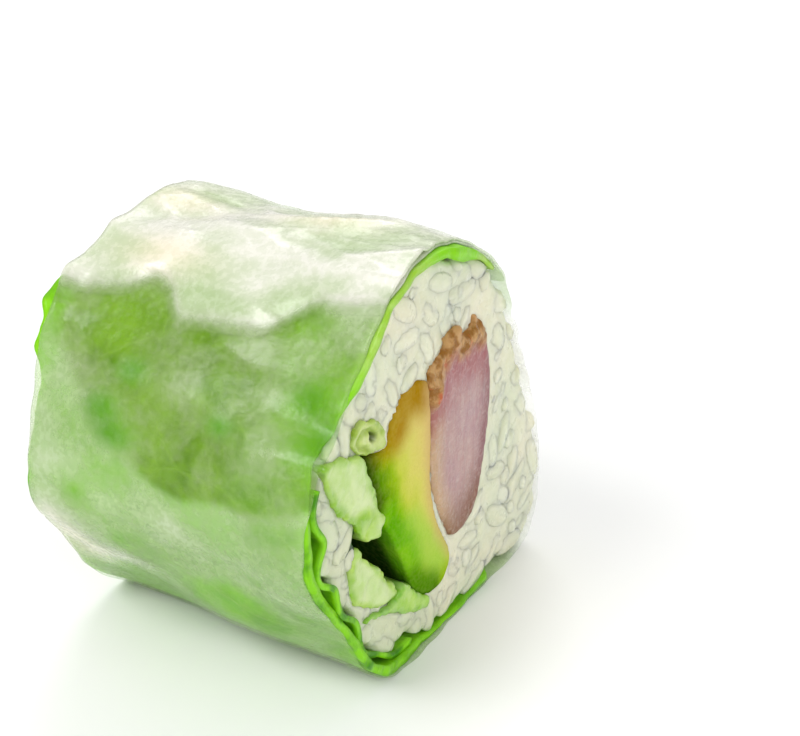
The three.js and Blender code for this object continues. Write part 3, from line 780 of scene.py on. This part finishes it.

# %% [markdown]
# ### Lettuce heart
# The pale pieces are ribs from the heart of the lettuce: crisp and nearly white inside, yellow green and
# frilly at their edges. Each is a strip again, with waves that run along it and a green edge. The smallest is
# rolled up, so its cut ends get a sunk hole, darkened with painted shade, and a sunk seam.


# %% Finishes of the hearts
def heart_finish(name, pale, paler, green, greener):
    heart = Finish(name, 0.34, 0.3, (0.8, 1.0, 0.4), 1.0, coat=0.15, gloss=0.4)
    cloud = heart.mottle(0.4, 0.3, 0.7, 3)
    streaks = heart.mottle(1.0, vector=heart.stretched((0.15, 1.0, 1.0), (0, 0, 0)))
    colour = heart.layered(
        heart.mix(cloud, pale, paler),
        ("edge", heart.mix(cloud, green, greener)),
        (heart.range(streaks, 0.0, 0.25), (214, 228, 176)),
        # painted shade: dark green inside the curl's hole
        ("hollow", (54, 66, 8)),
    )
    heart.feed(Base_Color=colour, Roughness=heart.range(cloud, 0.28, 0.42))
    heart.bump(heart.math("ADD", cloud, streaks), 0.1, 0.5)
    return heart.material


HEART_FINISH = heart_finish(
    "lettuce_heart_rib", (178, 206, 122), (204, 220, 160), (124, 176, 14), (168, 204, 70)
)
SHRED_FINISH = heart_finish(
    "lettuce_shred_green", (136, 190, 30), (174, 212, 84), (98, 164, 6), (150, 200, 40)
)
CURL_FINISH = heart_finish(
    "lettuce_curl_green", (170, 190, 86), (196, 208, 130), (122, 156, 20), (166, 190, 64)
)


# %% Form of the hearts
KNOB = [(-12.4, 19.0), (-11.6, 18.2)]
HOLE_DEPTH, SEAM_DEPTH = 0.9, 0.4


def make_rib(name, outline, proud, frill, edge_depth, voxel):
    piece, rows, normals, flat = strip_skin(name, outline, proud, voxel)
    depth = distance_to_edge(flat, outline)
    edge = fade(depth + 0.35 * noise_at(rows, 0.5, 51), 0.2, edge_depth)
    knob = fade(distance_to(flat, KNOB), 0.9, 2.0)
    waves = frill * noise_at(rows, (0.12, 0.55, 0.55), 52) + 0.3 * edge * noise_at(rows, (0.5, 1.1, 1.1), 53)
    rows = rows + normals * waves[:, None]
    if name.startswith("lettuce_curl"):
        hole, seam = distance_to(flat, CURL_HOLE), distance_to(flat, CURL_SEAM)
        sunk = HOLE_DEPTH * bump(hole, 0, 0.3) + SEAM_DEPTH * bump(seam, 0, 0.22)
        rows[:, 0] -= np.sign(rows[:, 0]) * near_cut(np.abs(rows[:, 0]), 2.0, 0.6) * sunk
        # Painted shade: a mask of the curl's hole, which the finish paints dark green.
        store(piece, hollow=fade(hole, 0.15, 0.55))
        edge = np.maximum(edge, fade(seam, 0.15, 0.6))
    store(piece, edge=np.maximum(edge, knob))
    set_mesh_rows(piece.data, rows)
    return piece


RIBS = {  # outline, and in mm: how far the strip stands out of the cut, its frill, its green edge, its voxels
    "lettuce_heart_upper": (closed_curve(UPPER_HEART_OUTLINE, 100), 0.1, 0.3, 1.0, 0.3),
    "lettuce_heart_lower": (closed_curve(LOWER_HEART_OUTLINE, 80), 0.0, 0.35, 0.9, 0.3),
    "lettuce_curl": (closed_curve(CURL_OUTLINE, 70), 0.1, 0.25, 0.7, 0.2),
    "lettuce_shred": (closed_curve(SHRED_OUTLINE, 90), 0.1, 0.12, 0.8, 0.3),
}
SLOTS = dict.fromkeys(RIBS, "lettuce_heart") | {"lettuce_shred": "lettuce_leaf"}
FINISHES = dict.fromkeys(RIBS, HEART_FINISH) | {"lettuce_shred": SHRED_FINISH, "lettuce_curl": CURL_FINISH}
for node, settings in RIBS.items():
    finish_piece(make_rib(node + "_strip", *settings), FINISHES[node], node)

# %% [markdown]
# ## The rice
# A ring of rice is hundreds of cooked grains that stick together. Two pieces make it: a lumpy core with room
# for the fillings, and real grains wherever the rice can be seen, on both cut faces and behind the film of
# the bare side. The knife squashes the grains it meets, so their fronts are flattened to the plane of the
# cut. The core is drawn back behind the fillings, so that it shows beside none of them.


# %% Finish of the rice
def rice_finish(name, tint):
    rice = Finish(name, 0.34, 0.8, (1.0, 0.92, 0.75), 1.6, coat=0.15)
    cloud = rice.mottle(0.12, 0.3, 0.7, 3)
    soft = rice.mottle(0.8, 0.3, 0.7, 3)
    colour = rice.layered(
        rice.mix("shade", (217, 222, 193), (202, 207, 176)),
        (rice.range(cloud, 0.0, 0.5), tint),
        ("tinge", (186, 200, 160)),
        # partly bits of leaf, partly painted shade: dark green on the core by the pocket and beside the avocado
        ("green", (34, 72, 8)),
    )
    rice.feed(Base_Color=colour, Roughness=rice.range(soft, 0.26, 0.42))
    rice.bump(soft, 0.1, 0.5)
    return rice.material


# %% Where grains may lie
FILLED = {
    "fish": closed_curve(FISH_OUTLINE, 120),
    "avocado": closed_curve(AVOCADO_OUTLINE, 120),
    "pocket": closed_curve(POCKET_OUTLINE, 60),
    **{name: settings[0] for name, settings in RIBS.items()},
}


def rice_edge(angle, x):
    """The rice's own outer depth: it fills up to the film where no leaf is between."""
    turned = np.degrees(angle) % 360
    corner = 0.34 + 0.36 * smoothstep(turned, 45, 49) + 3 * smoothstep(turned, 53, 57)
    corner = np.where((turned > 28) & (turned < 60), corner, 9)
    return np.minimum(rice_depth(angle, x), corner)


def is_inside(points, ring):
    """Whether each point lies inside a ring: a ray from it then crosses the ring an odd number of times."""
    inside = np.zeros(len(points), dtype=bool)
    for p, q in zip(ring, np.roll(ring, -1, axis=0)):
        crosses = (p[1] > points[:, 1]) != (q[1] > points[:, 1])
        with np.errstate(divide="ignore", invalid="ignore"):
            limit = (q[0] - p[0]) * (points[:, 1] - p[1]) / (q[1] - p[1]) + p[0]
        inside ^= crosses & (points[:, 0] < limit)
    return inside


POCKET_CLEARANCE, FILLING_OVERLAP = 0.6, 0.25


def room_left(points, x):
    """How far points y, z at a place along the roll are from anything but rice, below 0 outside the rice."""
    angle = np.linspace(0, 2 * np.pi, 240, endpoint=False)
    edge = layer_point(angle, np.full(240, float(x)), rice_edge(angle, x))[:, 1:]
    room = np.where(is_inside(points, edge), 1, -1) * distance_to_edge(points, edge)
    for name, outline in FILLED.items():
        here = carried(outline, x)
        kept_clear = POCKET_CLEARANCE if name == "pocket" else -FILLING_OVERLAP
        gap = distance_to_edge(points, here) - kept_clear
        room = np.minimum(room, np.where(is_inside(points, here), -gap, gap))
    return room


# %% Scatter the grains
FACE_DEPTH, FACE_SPACING = 0.8, 1.6
SIDE_DEPTH, SIDE_SPACING, SIDE_THROWS = 1.25, 2.0, 5000
FACE_ROUNDS = [  # how many are thrown, how far they lean from the face, and their share of the full size
    (5000, (0.0, 0.35), (0.85, 1.05)),
    (7000, (0.8, 1.4), (0.78, 1.0)),
]


def capsule_points(middle, heading, length, width):
    """Five points along a grain's middle line, which stand for its body when grains are packed."""
    reach = 0.5 * (length - width) * heading
    return np.array([middle + share * reach for share in (-1, -0.5, 0, 0.5, 1)])


class Packing:
    """Grains thrown one by one: a grain stays where it keeps clear of those already there."""

    def __init__(self, spacing):
        self.spacing = spacing
        self.bodies = np.empty((0, 3))
        self.grains = []

    def throw(self, middle, heading, length, width, squeezed=False):
        body = capsule_points(middle, heading, length, width)
        if len(self.bodies):
            gaps = np.linalg.norm(self.bodies[None] - body[:, None], axis=2)
            if gaps.min() < self.spacing:
                return
        self.bodies = np.vstack([self.bodies, body])
        self.grains.append((middle, heading, length, width, squeezed))


def face_grains(side, rng):
    """Grains pressed flat by the knife: long ones first, then ones seen end on in the places left over."""
    packing = Packing(FACE_SPACING)
    x = side * (FRONT - FACE_DEPTH)
    for wanted, tilt, scale in FACE_ROUNDS:
        spots = rng.uniform((-25, 0), (25, 42), size=(wanted, 2))
        ways = rng.uniform(0, np.pi, size=wanted)
        slopes = rng.uniform(*tilt, size=wanted)
        sizes = rng.uniform(*scale, size=(wanted, 2)) * (GRAIN_LENGTH, GRAIN_WIDTH)
        flat = np.cos(slopes)[:, None] * np.stack([np.cos(ways), np.sin(ways)], axis=1)
        reach = 0.5 * (sizes[:, 0] - sizes[:, 1])[:, None] * flat
        middle, one, other = (room_left(spots + shift * reach, x) for shift in (0, 1, -1))
        fits = (middle > 0.6) & (np.minimum(one, other) > 0.5)
        squeezed = np.minimum(middle, np.minimum(one, other)) < 1.0
        for index in np.flatnonzero(fits):
            heading = np.array([-side * math.sin(slopes[index]), *flat[index]])
            deeper = side * 0.5 * (sizes[index][0] - sizes[index][1]) * math.sin(slopes[index])
            packing.throw(np.array([x - deeper, *spots[index]]), heading, *sizes[index], squeezed[index])
    return packing.grains


def side_grains(rng):
    """Grains that lie against the film where no leaf is between."""
    packing = Packing(SIDE_SPACING)
    for _ in range(SIDE_THROWS):
        x, turned = rng.uniform(-FRONT + 1.6, FRONT - 1.6), rng.uniform(290, 408)
        angle = math.radians(turned)
        if turned < leaf_to(x) + 3:
            continue
        middle = layer_point(np.array(angle), np.array(x), rice_edge(np.array(angle), x) + SIDE_DEPTH)
        way = rng.uniform(0, np.pi)
        across = np.array([0, -math.sin(angle), math.cos(angle)])
        heading = np.array([1.0, 0, 0]) * math.cos(way) + across * math.sin(way)
        length, width = GRAIN_LENGTH * rng.uniform(0.82, 1.05), GRAIN_WIDTH * rng.uniform(0.85, 1.0)
        if abs(x) + 0.5 * length * abs(heading[0]) < FRONT - 0.6:
            packing.throw(middle, heading, length, width)
    return packing.grains


GRAIN_RNG = np.random.default_rng(7)
SIDE_GRAINS = side_grains(GRAIN_RNG)
FACE_GRAINS = face_grains(1, GRAIN_RNG) + face_grains(-1, GRAIN_RNG)
print("grains on the faces", len(FACE_GRAINS), "and behind the film", len(SIDE_GRAINS))


# %% Model the grains
GRAIN_PROUD, SQUEEZED_BACK = 0.08, 0.15


def add_grain(bm, middle, heading, length, width):
    out = bmesh.ops.create_uvsphere(bm, u_segments=10, v_segments=8, radius=1)
    turn = Vector(heading).to_track_quat("Z", "X").to_matrix().to_4x4()
    size = Matrix.Diagonal((width / 2, width / 2 * 0.94, length / 2, 1))
    bmesh.ops.transform(bm, matrix=Matrix.Translation(middle) @ turn @ size, verts=out["verts"])


def held_in(rows, limit, soft=0.6):
    """Keeps points inside the leaf and film, and flattens them softly at the two cuts."""
    over = np.abs(rows[:, 0]) - (limit - soft)
    x = np.where(over > 0, np.sign(rows[:, 0]) * (limit - soft + soft * np.tanh(over / soft)), rows[:, 0])
    size = 1 - REAR_TAPER * depth_share(x)
    middle = np.stack([np.zeros_like(x), AXIS_HEIGHT * size], axis=1)
    away = rows[:, 1:] - middle
    angle = np.arctan2(away[:, 1], away[:, 0])
    edge = layer_point(angle, x, rice_edge(angle, x) + 0.03)[:, 1:] - middle
    share = np.linalg.norm(away, axis=1) / np.linalg.norm(edge, axis=1)
    pull = np.where(share > 1, 1 / share, 1.0)
    return np.column_stack([x, middle + away * pull[:, None]])


def leaf_tinge(rows):
    """How much green light the leaf lends the rice: most low down and close to the leaf."""
    turned = turn_of(np.arctan2(rows[:, 2] - AXIS_HEIGHT, rows[:, 1]))
    by_leaf = window(turned, 130, 165, 255, 285)
    return 0.55 * by_leaf * smoothstep(np.hypot(rows[:, 1], rows[:, 2] - AXIS_HEIGHT), 8, 17)


def make_grains():
    rng = np.random.default_rng(8)
    grains = FACE_GRAINS + SIDE_GRAINS
    bm = bmesh.new()
    for grain in grains:
        add_grain(bm, *grain[:4])
    rows = vertex_rows(bm)
    rows = rows + 0.14 * np.column_stack([noise_at(rows, 0.4, seed) for seed in (61, 62, 63)])
    per_grain = len(rows) // len(grains)
    limits = [FRONT + GRAIN_PROUD - rng.uniform(0, 0.2) - SQUEEZED_BACK * squeezed for *_, squeezed in grains]
    move_vertices(bm.verts, held_in(rows, np.repeat(limits, per_grain)))
    piece = to_object("rice_grains", bm)
    shade = np.repeat(rng.uniform(0, 1, len(grains)), per_grain)
    store(piece, shade=shade, green=np.zeros(len(rows)), tinge=leaf_tinge(mesh_rows(piece.data)))
    return piece


# %% Model the core
CORE_FRONT = FRONT - 0.28
CORE_SIDES, CORE_STATIONS = 160, 14
CORE_VOXEL = 0.45
CORE_UNDER_GRAINS = 0.3
DRAWN_BACK = 1.5


def make_core():
    angle = np.linspace(0, 2 * np.pi, CORE_SIDES, endpoint=False)
    stations = np.linspace(-CORE_FRONT, CORE_FRONT, CORE_STATIONS)
    insets = [rice_edge(angle, x) + CORE_UNDER_GRAINS for x in stations]
    rings = [layer_point(angle, np.full(CORE_SIDES, x), inset) for x, inset in zip(stations, insets)]
    piece = ring_solid("rice_core", rings)
    pocket = FILLED["pocket"]
    for ends in ((FRONT + 4, FRONT - POCKET_DEPTH), (POCKET_DEPTH - FRONT, -FRONT - 4)):
        cut_from(piece, strip_piece("pocket_cutter", pocket, *ends, steps=3))
    rows, normals = remeshed(piece, CORE_VOXEL, 3)
    lumps = 0.22 * noise_at(rows, 0.45, 71) + 0.12 * noise_at(rows, 1.1, 72)
    rows = rows + normals * lumps[:, None]
    flat = carried_back(rows)
    by_avocado = distance_to(flat, BESIDE_AVOCADO)
    behind = bump(by_avocado, 0, 1.1)
    for outline in FILLED.values():
        within = is_inside(flat, outline) * distance_to_edge(flat, outline)
        behind = np.maximum(behind, smoothstep(within, 0.1, 0.7))
    at_ends = smoothstep(np.abs(rows[:, 0]), CORE_FRONT - 2.0, CORE_FRONT - 0.6)
    rows[:, 0] -= np.sign(rows[:, 0]) * DRAWN_BACK * at_ends * behind
    # Dark green by the pocket and beside the avocado: partly bits of leaf, partly painted shade in those
    # recesses.
    green = fade(np.minimum(distance_to_edge(flat, pocket), by_avocado), 1.0, 1.9)
    store(piece, tinge=leaf_tinge(rows), shade=np.full(len(rows), 0.5), green=green)
    set_mesh_rows(piece.data, rows)
    return piece


def cut_from(piece, cutter):
    """Cuts one solid out of another and removes the cutter."""
    add_modifier(piece, "BOOLEAN", operation="DIFFERENCE", solver="EXACT", object=cutter)
    apply_modifiers(piece)
    bpy.data.objects.remove(cutter)


RICE_FINISH = rice_finish("cooked_rice", (236, 224, 198))
finish_piece(make_core(), RICE_FINISH, "rice")
finish_piece(make_grains(), RICE_FINISH, "rice")

# %% [markdown]
# ## The lettuce leaf
# The leaf is the green that shows through the film. It is a sheet like the wrapper, a little deeper, with its
# own puckers, thin frayed edges at the cut and darker and yellower patches. Its veins are pale lines from the
# vein group. At the rear it stands out of the roll in a few frilly tips.


# %% Where the leaf is darker
def leaf_arc(x):
    """The turn at which the darker part of the leaf ends."""
    return 174 - 0.11 * (np.minimum(x, 2) - 2) ** 2 - 0.03 * np.maximum(x - 2, 0) ** 2


BRIGHT_SPOTS = [  # turn, place along the roll, and half widths in turn and place
    (158, -7.8, 3.8, 1.9), (164, -6, 3.6, 1.9), (147, -5.5, 3.0, 1.6), (142, 12.3, 5, 2.0),
    (151, 14.8, 6, 2.2), (154, 5.1, 2.4, 1.2),
]


def spot_at(turned, x, turn, place, wide, long):
    return np.exp(-(((turned - turn) / wide) ** 2) - ((x - place) / long) ** 2)


def bright_share(turned, x):
    """1 where young bright leaf presses against the film."""
    return sum(spot_at(turned % 360, x, *spot) for spot in BRIGHT_SPOTS).clip(0, 1)


def olive_share(turned, x):
    """1 where the darker, yellower leaf shows through the film, 0 below its edge."""
    waver = 2.5 * noise_at(layer_point(np.radians(turned), x, 0), 0.3, 14)
    near_front = 1 - 0.45 * smoothstep(x, 5, 10)
    past_flap = smoothstep(turned % 360 - flap_edge(x), -9, 1)
    soft = 1.6 + 3.4 * smoothstep(-x, 0, 9)
    olive = fade((turned % 360 - leaf_arc(x) + waver) / soft, -1, 1) * near_front * past_flap
    return olive * (1 - 0.8 * bright_share(turned, x))


# %% Finish of the leaf
def leaf_finish():
    leaf = Finish("lettuce_green", 0.36, 0.15, (0.5, 1.0, 0.15), 0.6, coat=0.1, gloss=0.15)
    patches = leaf.mottle(0.16, 0.36, 0.64, 3)
    cells = leaf.mottle(0.7, 0.3, 0.7, 3)
    veins = leaf.veins(0.2, 0.07)
    olive = leaf.mix(patches, (66, 116, 2), (112, 160, 10))
    fresh = leaf.mix(patches, (84, 156, 12), (122, 194, 44))
    # Painted shade: where the leaf is crumpled, its cut rim gets dark green patches for the shade between
    # crumples.
    crumple = leaf.math("MULTIPLY", leaf.mottle(0.38, 0.4, 0.7, 3), "crumpled")
    green = leaf.layered(
        leaf.mix("olive", fresh, olive),
        (leaf.range(cells, 0.0, 0.3), (150, 202, 56)),
        (leaf.range(veins, 0.0, 0.14), (176, 214, 104)),
        # painted shade: the crumpled rim's dark green patches
        ("rim", leaf.mix(crumple, (132, 206, 16), (60, 130, 0))),
        ("milky", leaf.mix(cells, (150, 192, 58), (170, 202, 102))),
        (leaf.math("MULTIPLY", "bright", 0.85), (92, 156, 0)),
    )
    leaf.feed(Base_Color=green, Roughness=leaf.range(cells, 0.3, 0.46))
    leaf.bump(leaf.math("ADD", leaf.math("MULTIPLY", veins, 0.4), cells), 0.12, 0.6)
    return leaf.material


LEAF_FINISH = leaf_finish()


# %% Make both layers of the leaf
THICKEST_FOLD = 1.9


def leaf_place(u, v):
    front = v > 0.5
    x = -FRONT + ROLL_LENGTH * v
    start = LEAF_FROM + 2.5 * np.sin(0.35 * x) * (1 - near_cut(np.abs(x), 5))
    turned = start + (leaf_to(x) - start) * u
    angle = np.radians(turned)
    tips = leaf_tips(turned) * ~front
    frill = 0.2 * np.sin(27 * angle + 0.5) + 0.1 * np.sin(61 * angle + 1.0)
    rim = 0.15 + (0.25 * bump(turned, 95, 55) - 0.9 * bump(turned, 152, 12)) * front
    beyond = rim + 1.1 * tips + 0.9 * frayed_end(angle, 2.1) + frill * (0.3 + 0.4 * tips)
    x = x + beyond * np.sign(x) * near_cut(np.abs(x), 3)
    edge = near_cut(np.abs(x), 1.2, 0.2)
    pale = window(turned, 91, 103, 126, 142) + smoothstep(72 - turned, 0, 6)
    # Where the leaf is crumpled. Its cut rim gets patches of painted shade there.
    crumpled = smoothstep(turned, 150, 170) * (1 - 0.5 * smoothstep(turned, 236, 250))
    thick = leaf_thickness(angle) * (0.5 + 0.5 * smoothstep(turned, 56, 60))
    outer = paper_depth(angle) + GAP + leaf_lift(angle, x) - puckers(angle, x) - tip_flare(turned, x)
    return layer_point(angle, x, outer), thick / LEAF_THICKNESS / THICKEST_FOLD, {
        "rim": edge * (1 - 0.6 * smoothstep(turned, 276, 292)),
        "milky": 0.85 * edge * front * pale,
        "crumpled": np.maximum(crumpled, 0.4 * ~front * bump(turned, 134, 20)),
        "olive": olive_share(turned, x),
        "bright": bright_share(turned, x),
    }


def inner_leaf_place(u, v):
    x = (-FRONT + ROLL_LENGTH * v) * (FRONT - 0.1) / FRONT
    turned = INNER_FROM + (INNER_TO - INNER_FROM) * u
    angle = np.radians(turned)
    x = x + 0.9 * frayed_end(angle, 4.0) * np.sign(x) * near_cut(np.abs(x), 3)
    crumple = 0.15 * np.sin(17 * angle + 0.4 * x) * near_cut(np.abs(x), 5)
    under = paper_depth(angle) + 2 * GAP + leaf_thickness(angle) + inner_gap(angle, x) + crumple
    # The whole inner fold is crumpled, so its rim gets patches of painted shade.
    columns = {"rim": near_cut(np.abs(x), 1.2, 0.2), "crumpled": np.ones(len(x))}
    return layer_point(angle, x, under - puckers(angle, x)), 1.0, columns


leaf = grid_piece("lettuce_leaf_wrap", 250, 76, leaf_place, LEAF_THICKNESS * THICKEST_FOLD)
inner_leaf = grid_piece("lettuce_leaf_fold", 120, 60, inner_leaf_place, INNER_LEAF_THICKNESS)
finish_piece(leaf, LEAF_FINISH, "lettuce_leaf")
finish_piece(inner_leaf, LEAF_FINISH, "lettuce_leaf_inner")

# %% [markdown]
# ## The wrapper: soaked rice paper
# Rice paper is milky when wet: a thin film that shows the leaf through it, whiter wherever it lies double or
# bunches up. It could be painted as a solid green skin, but a real film with transparency keeps its pale cut
# rim and lets the rice show on the bare side. It starts as a flat grid that is rolled into a spiral, one turn
# and a bit, and its free end lies on top at the upper left. How white it is, its cover, is stored per vertex.

# %% Finish of the wrapper
def film_finish():
    film = Finish("soaked_rice_paper", 0.3, coat=0.4)
    blotches = film.mottle(0.2, 0.32, 0.7, 2)
    specks = film.mottle(1.6, 0.35, 0.7, 2)
    gaps = film.mottle(0.24, 0.58, 0.7, 1.5)
    cover = film.math("ADD", "cover", film.range(blotches, -0.07, 0.08), clamp=True)
    cover = film.math("ADD", cover, film.range(specks, -0.04, 0.05), clamp=True)
    cover = film.math("SUBTRACT", cover, film.range(gaps, 0.0, 0.1), clamp=True)
    tint = film.layered(
        film.mix("olive", (154, 206, 72), (136, 180, 34)),
        ("bright", (104, 178, 0)),
        ("bare", (247, 250, 242)),
        (cover, film.mix("cream", (238, 237, 224), (246, 237, 213))),
    )
    alpha = film.math("MULTIPLY", film.range(cover, 0.16, 0.86), "present")
    film.feed(Base_Color=tint, Alpha=alpha, Roughness=film.range(specks, 0.2, 0.36))
    film.bump(film.mottle(0.7, 0.3, 0.7, 3), 0.1, 0.5)
    return film.material


# %% Where the wrapper is clear, milky or cream
FILM_SPOTS = [  # turn, place along the roll, half widths in turn and place, and how much whiter the film is
    (134, -9.5, 9, 5.5, -0.16), (146, -11, 7, 3.0, 0.12), (158, -7.8, 3.4, 1.7, -0.3),
    (164, -6, 3.2, 1.7, -0.3), (171, 1.8, 3.4, 2.4, -0.24), (142, 12.3, 5, 1.8, -0.24),
    (150, 14.8, 7, 2.0, -0.32), (134, 0.2, 2.5, 1.5, -0.14), (154, 5.1, 2.2, 1.1, -0.2),
    (148, -5.2, 5, 2.6, -0.26), (144, 3.8, 5, 2.4, -0.3), (147, 7, 4, 2.0, 0.08), (151, 0.3, 3, 1.8, 0.14),
    (181, -2.2, 4, 2.2, -0.1), (183, 0.8, 4, 2.0, 0.12), (194, -7.2, 6, 3.5, -0.04),
    (180, -11.5, 2.5, 3.5, -0.08), (168, -14, 9, 3.0, 0.16), (201, -13.6, 16, 3.6, 0.46),
    (209, -8, 5, 4.0, 0.36), (211, 1.5, 7, 4.0, -0.3), (211, 8, 7, 4.0, -0.2), (185, 11, 12, 3.5, -0.06),
    (113, -13.8, 6, 3.0, -0.08), (123, -6, 4, 3.0, -0.08), (103, 7.5, 5, 3.0, -0.14), (111, 6, 5, 3.5, -0.12),
    (130, -2.6, 3.5, 1.8, -0.14), (115, 11.5, 4, 3.0, 0.08), (92, -11, 9, 5.0, 0.22),
    (85, -13.5, 5, 3.0, 0.14), (98, -2, 5, 3.0, -0.18), (96, 4, 7, 4.0, 0.06), (122, -12.3, 4, 2.6, -0.22),
    (122, 1, 6, 8.0, -0.13), (123, 4, 4, 3.5, -0.08), (116, -6, 4, 3.5, -0.14), (172, -4, 5, 4.0, -0.08),
    (190, -13.5, 12, 3.0, 0.2), (121, 14.6, 5, 2.5, 0.14),
]
CREAM_SPOTS = [(209, -13.5, 14, 4.0), (115, -8, 6, 5.0), (89, -12, 6, 4.0), (88, 4, 6, 5.0)]


def paper_cover(turned, x, points):
    """How white the film is: 0 nearly clear, 1 milky."""
    turned = turned % 360
    waver = 8 * noise_at(points, 0.16, 11)
    past_edge = turned - flap_edge(x) + 0.2 * waver
    overlap = smoothstep(turned + waver, 54, 78) * fade(past_edge, -7, 3)
    spots = sum(amount * spot_at(turned, x, *place) for *place, amount in FILM_SPOTS)
    clouds = 0.12 * noise_at(points, (0.09, 0.14, 0.14), 12) + 0.1 * noise_at(points, (0.3, 0.4, 0.4), 13)
    fold = 0.14 * bump(turned - leaf_arc(x), 0, 1.6) * smoothstep(x, 4, 8)
    base = 0.29 - 0.16 * olive_share(turned, x) - 0.1 * smoothstep(turned, 205, 222) * smoothstep(x, -12, -6)
    clear = 0.1 * bare_share(np.radians(turned), x)
    return np.clip(base - clear + 0.42 * overlap + spots + clouds + fold, 0, 1)


# %% How the film clings to the grains behind it
CLING_DIP, CLING_RISE = -0.35, 0.05
BY_FILM = SIDE_GRAINS + [
    grain for grain in FACE_GRAINS if turn_of(math.atan2(grain[0][2] - AXIS_HEIGHT, grain[0][1])) > 285
]
print("grains that the film clings to", len(BY_FILM))


def cling(turned, x):
    """How far the film stands out where it lies over a grain, in mm."""
    angle = np.radians(turned)
    film = layer_point(angle, x, 0)
    height = np.full(len(film), CLING_DIP)
    near = np.flatnonzero(bare_share(angle, x) > 0.01)
    for middle, heading, length, width, _ in BY_FILM:
        reach = 0.5 * (length - width)
        along = np.clip((film[near] - middle) @ heading, -reach, reach)
        gap = np.linalg.norm(film[near] - middle - along[:, None] * heading, axis=1)
        height[near] = np.maximum(height[near], 0.5 * width + 0.3 - gap)
    return height.clip(CLING_DIP, CLING_RISE)


# %% Roll the wrapper
FLAP_CREASES = {"middle": 460, "width": 30}


def wrapper_place(u, v):
    x = -FRONT + ROLL_LENGTH * v
    turned = FLAP_FROM + (360 + FLAP_TO - FLAP_FROM) * u + smoothstep(u, 0.92, 1.0) * (flap_edge(x) - FLAP_TO)
    angle = np.radians(turned)
    tucked = 0.8 * bump(turned % 360, **TUCKED_TIP) + 0.3 * leaf_tips(turned % 360)
    rim = 0.1 - 0.2 * bump(turned % 360, 100, 60) * (v > 0.5)
    beyond = rim + tucked * (v < 0.5) + frayed_end(angle, 0.6) + 0.08 * np.sin(31 * angle)
    x = x + beyond * np.sign(x) * near_cut(np.abs(x), 3)
    inset = np.where(turned < FLAP_TO + FLAP_EASE, flap_inset(turned), 0.0)
    points = layer_point(angle, x, inset)
    in_flap = bump(turned, **FLAP_CREASES)
    folds = 0.45 * ridges_at(points, (0.05, 0.17, 0.13), 21) + 0.15 * ridges_at(points, (0.14, 0.4, 0.3), 22)
    to_end = 360 + flap_edge(x) - turned
    cover = paper_cover(turned, x, points) + 0.2 * bump(to_end, 4, 1.5) + 0.6 * folds * (0.25 + in_flap)
    bare = bare_share(angle, x)
    lift = puckers(angle, x) + folds * in_flap + tip_flare(turned, x) + cling(turned, x) * bare
    pressed = 0.2 * fade(to_end, 1, 10)
    return layer_point(angle, x, inset + pressed - lift), 1 - 0.8 * smoothstep(u, 0.965, 1.0), {
        "cover": cover.clip(0, 1),
        "bare": bare,
        "olive": olive_share(turned, x),
        "bright": bright_share(turned, x),
        "cream": sum(spot_at(turned % 360, x, *spot) for spot in CREAM_SPOTS).clip(0, 1),
        "present": 0.2 + 0.8 * smoothstep(to_end, 0, 7),
    }


wrapper = grid_piece("rice_paper_wrap", 420, 84, wrapper_place, PAPER_THICKNESS)
finish_piece(wrapper, film_finish(), "rice_paper")

# %% [markdown]
# ## Table and light
# The slice lies on a plain pale surface. The light is soft and comes from all round, with one large lamp high
# on the left that puts the wet highlights on the film and a weaker one behind that lights the thin edges.


# %% Stage
ROOM_LIGHT = 0.62


def add_to_scene(name, data, place, facing):
    """Puts a lamp or a camera at a place, looking along a direction."""
    holder = bpy.data.objects.new(name, data)
    holder.location = place
    holder.rotation_mode = "QUATERNION"
    holder.rotation_quaternion = facing.to_track_quat("-Z", "Y")
    bpy.context.scene.collection.objects.link(holder)
    return holder


def make_floor():
    bm = bmesh.new()
    bmesh.ops.create_grid(bm, x_segments=1, y_segments=1, size=3.0)
    floor = to_object("table", bm)
    surface = Finish("pale_table", 0.6)
    surface.feed(Base_Color=surface.mix(surface.mottle(0.02), (250, 250, 249), (247, 247, 247)))
    floor.data.materials.append(surface.material)


def make_world(strength):
    world = bpy.data.worlds.new("soft_room")
    world.use_nodes = True
    backdrop = world.node_tree.nodes["Background"]
    backdrop.inputs["Color"].default_value = (1.0, 1.0, 1.0, 1.0)
    backdrop.inputs["Strength"].default_value = strength
    bpy.context.scene.world = world


LAMPS = {  # place in metres, side of the square lamp, and power in watts
    "key": ((-0.16, -0.34, 0.42), 0.24, 1.46),
    "fill": ((0.46, -0.16, 0.26), 0.35, 0.95),
    "back": ((-0.16, 0.34, 0.42), 0.30, 0.85),
}
make_floor()
make_world(ROOM_LIGHT)
for name, (place, size, power) in LAMPS.items():
    lamp = bpy.data.lights.new(name, "AREA")
    lamp.size = size
    lamp.energy = power
    add_to_scene(name, lamp, place, Vector((0, 0, AXIS_HEIGHT * MM)) - Vector(place))
print("lamps", list(LAMPS))

# %% [markdown]
# ## Camera
# A longer lens than usual, held 27 degrees above the table and turned 31.5 degrees round the roll's face.

# %% Place the camera
CAMERA_AZIMUTH, CAMERA_ELEVATION = 31.5, 27.0
CAMERA_PLACE = Vector((FRONT + 66.81, -115.56, 96.44)) * MM
LENS = 76.5

camera_data = bpy.data.cameras.new("camera")
camera_data.lens = LENS
camera_data.sensor_width = 36
camera_data.clip_start = 0.005
azimuth, elevation = math.radians(CAMERA_AZIMUTH), math.radians(CAMERA_ELEVATION)
level = math.cos(elevation)
back = Vector((math.sin(azimuth) * level, -math.cos(azimuth) * level, math.sin(elevation)))
camera = add_to_scene("camera", camera_data, CAMERA_PLACE, -back)
bpy.context.scene.camera = camera
bpy.context.scene.view_settings.view_transform = "Standard"
print("camera at, mm", [round(c / MM, 1) for c in camera.location])
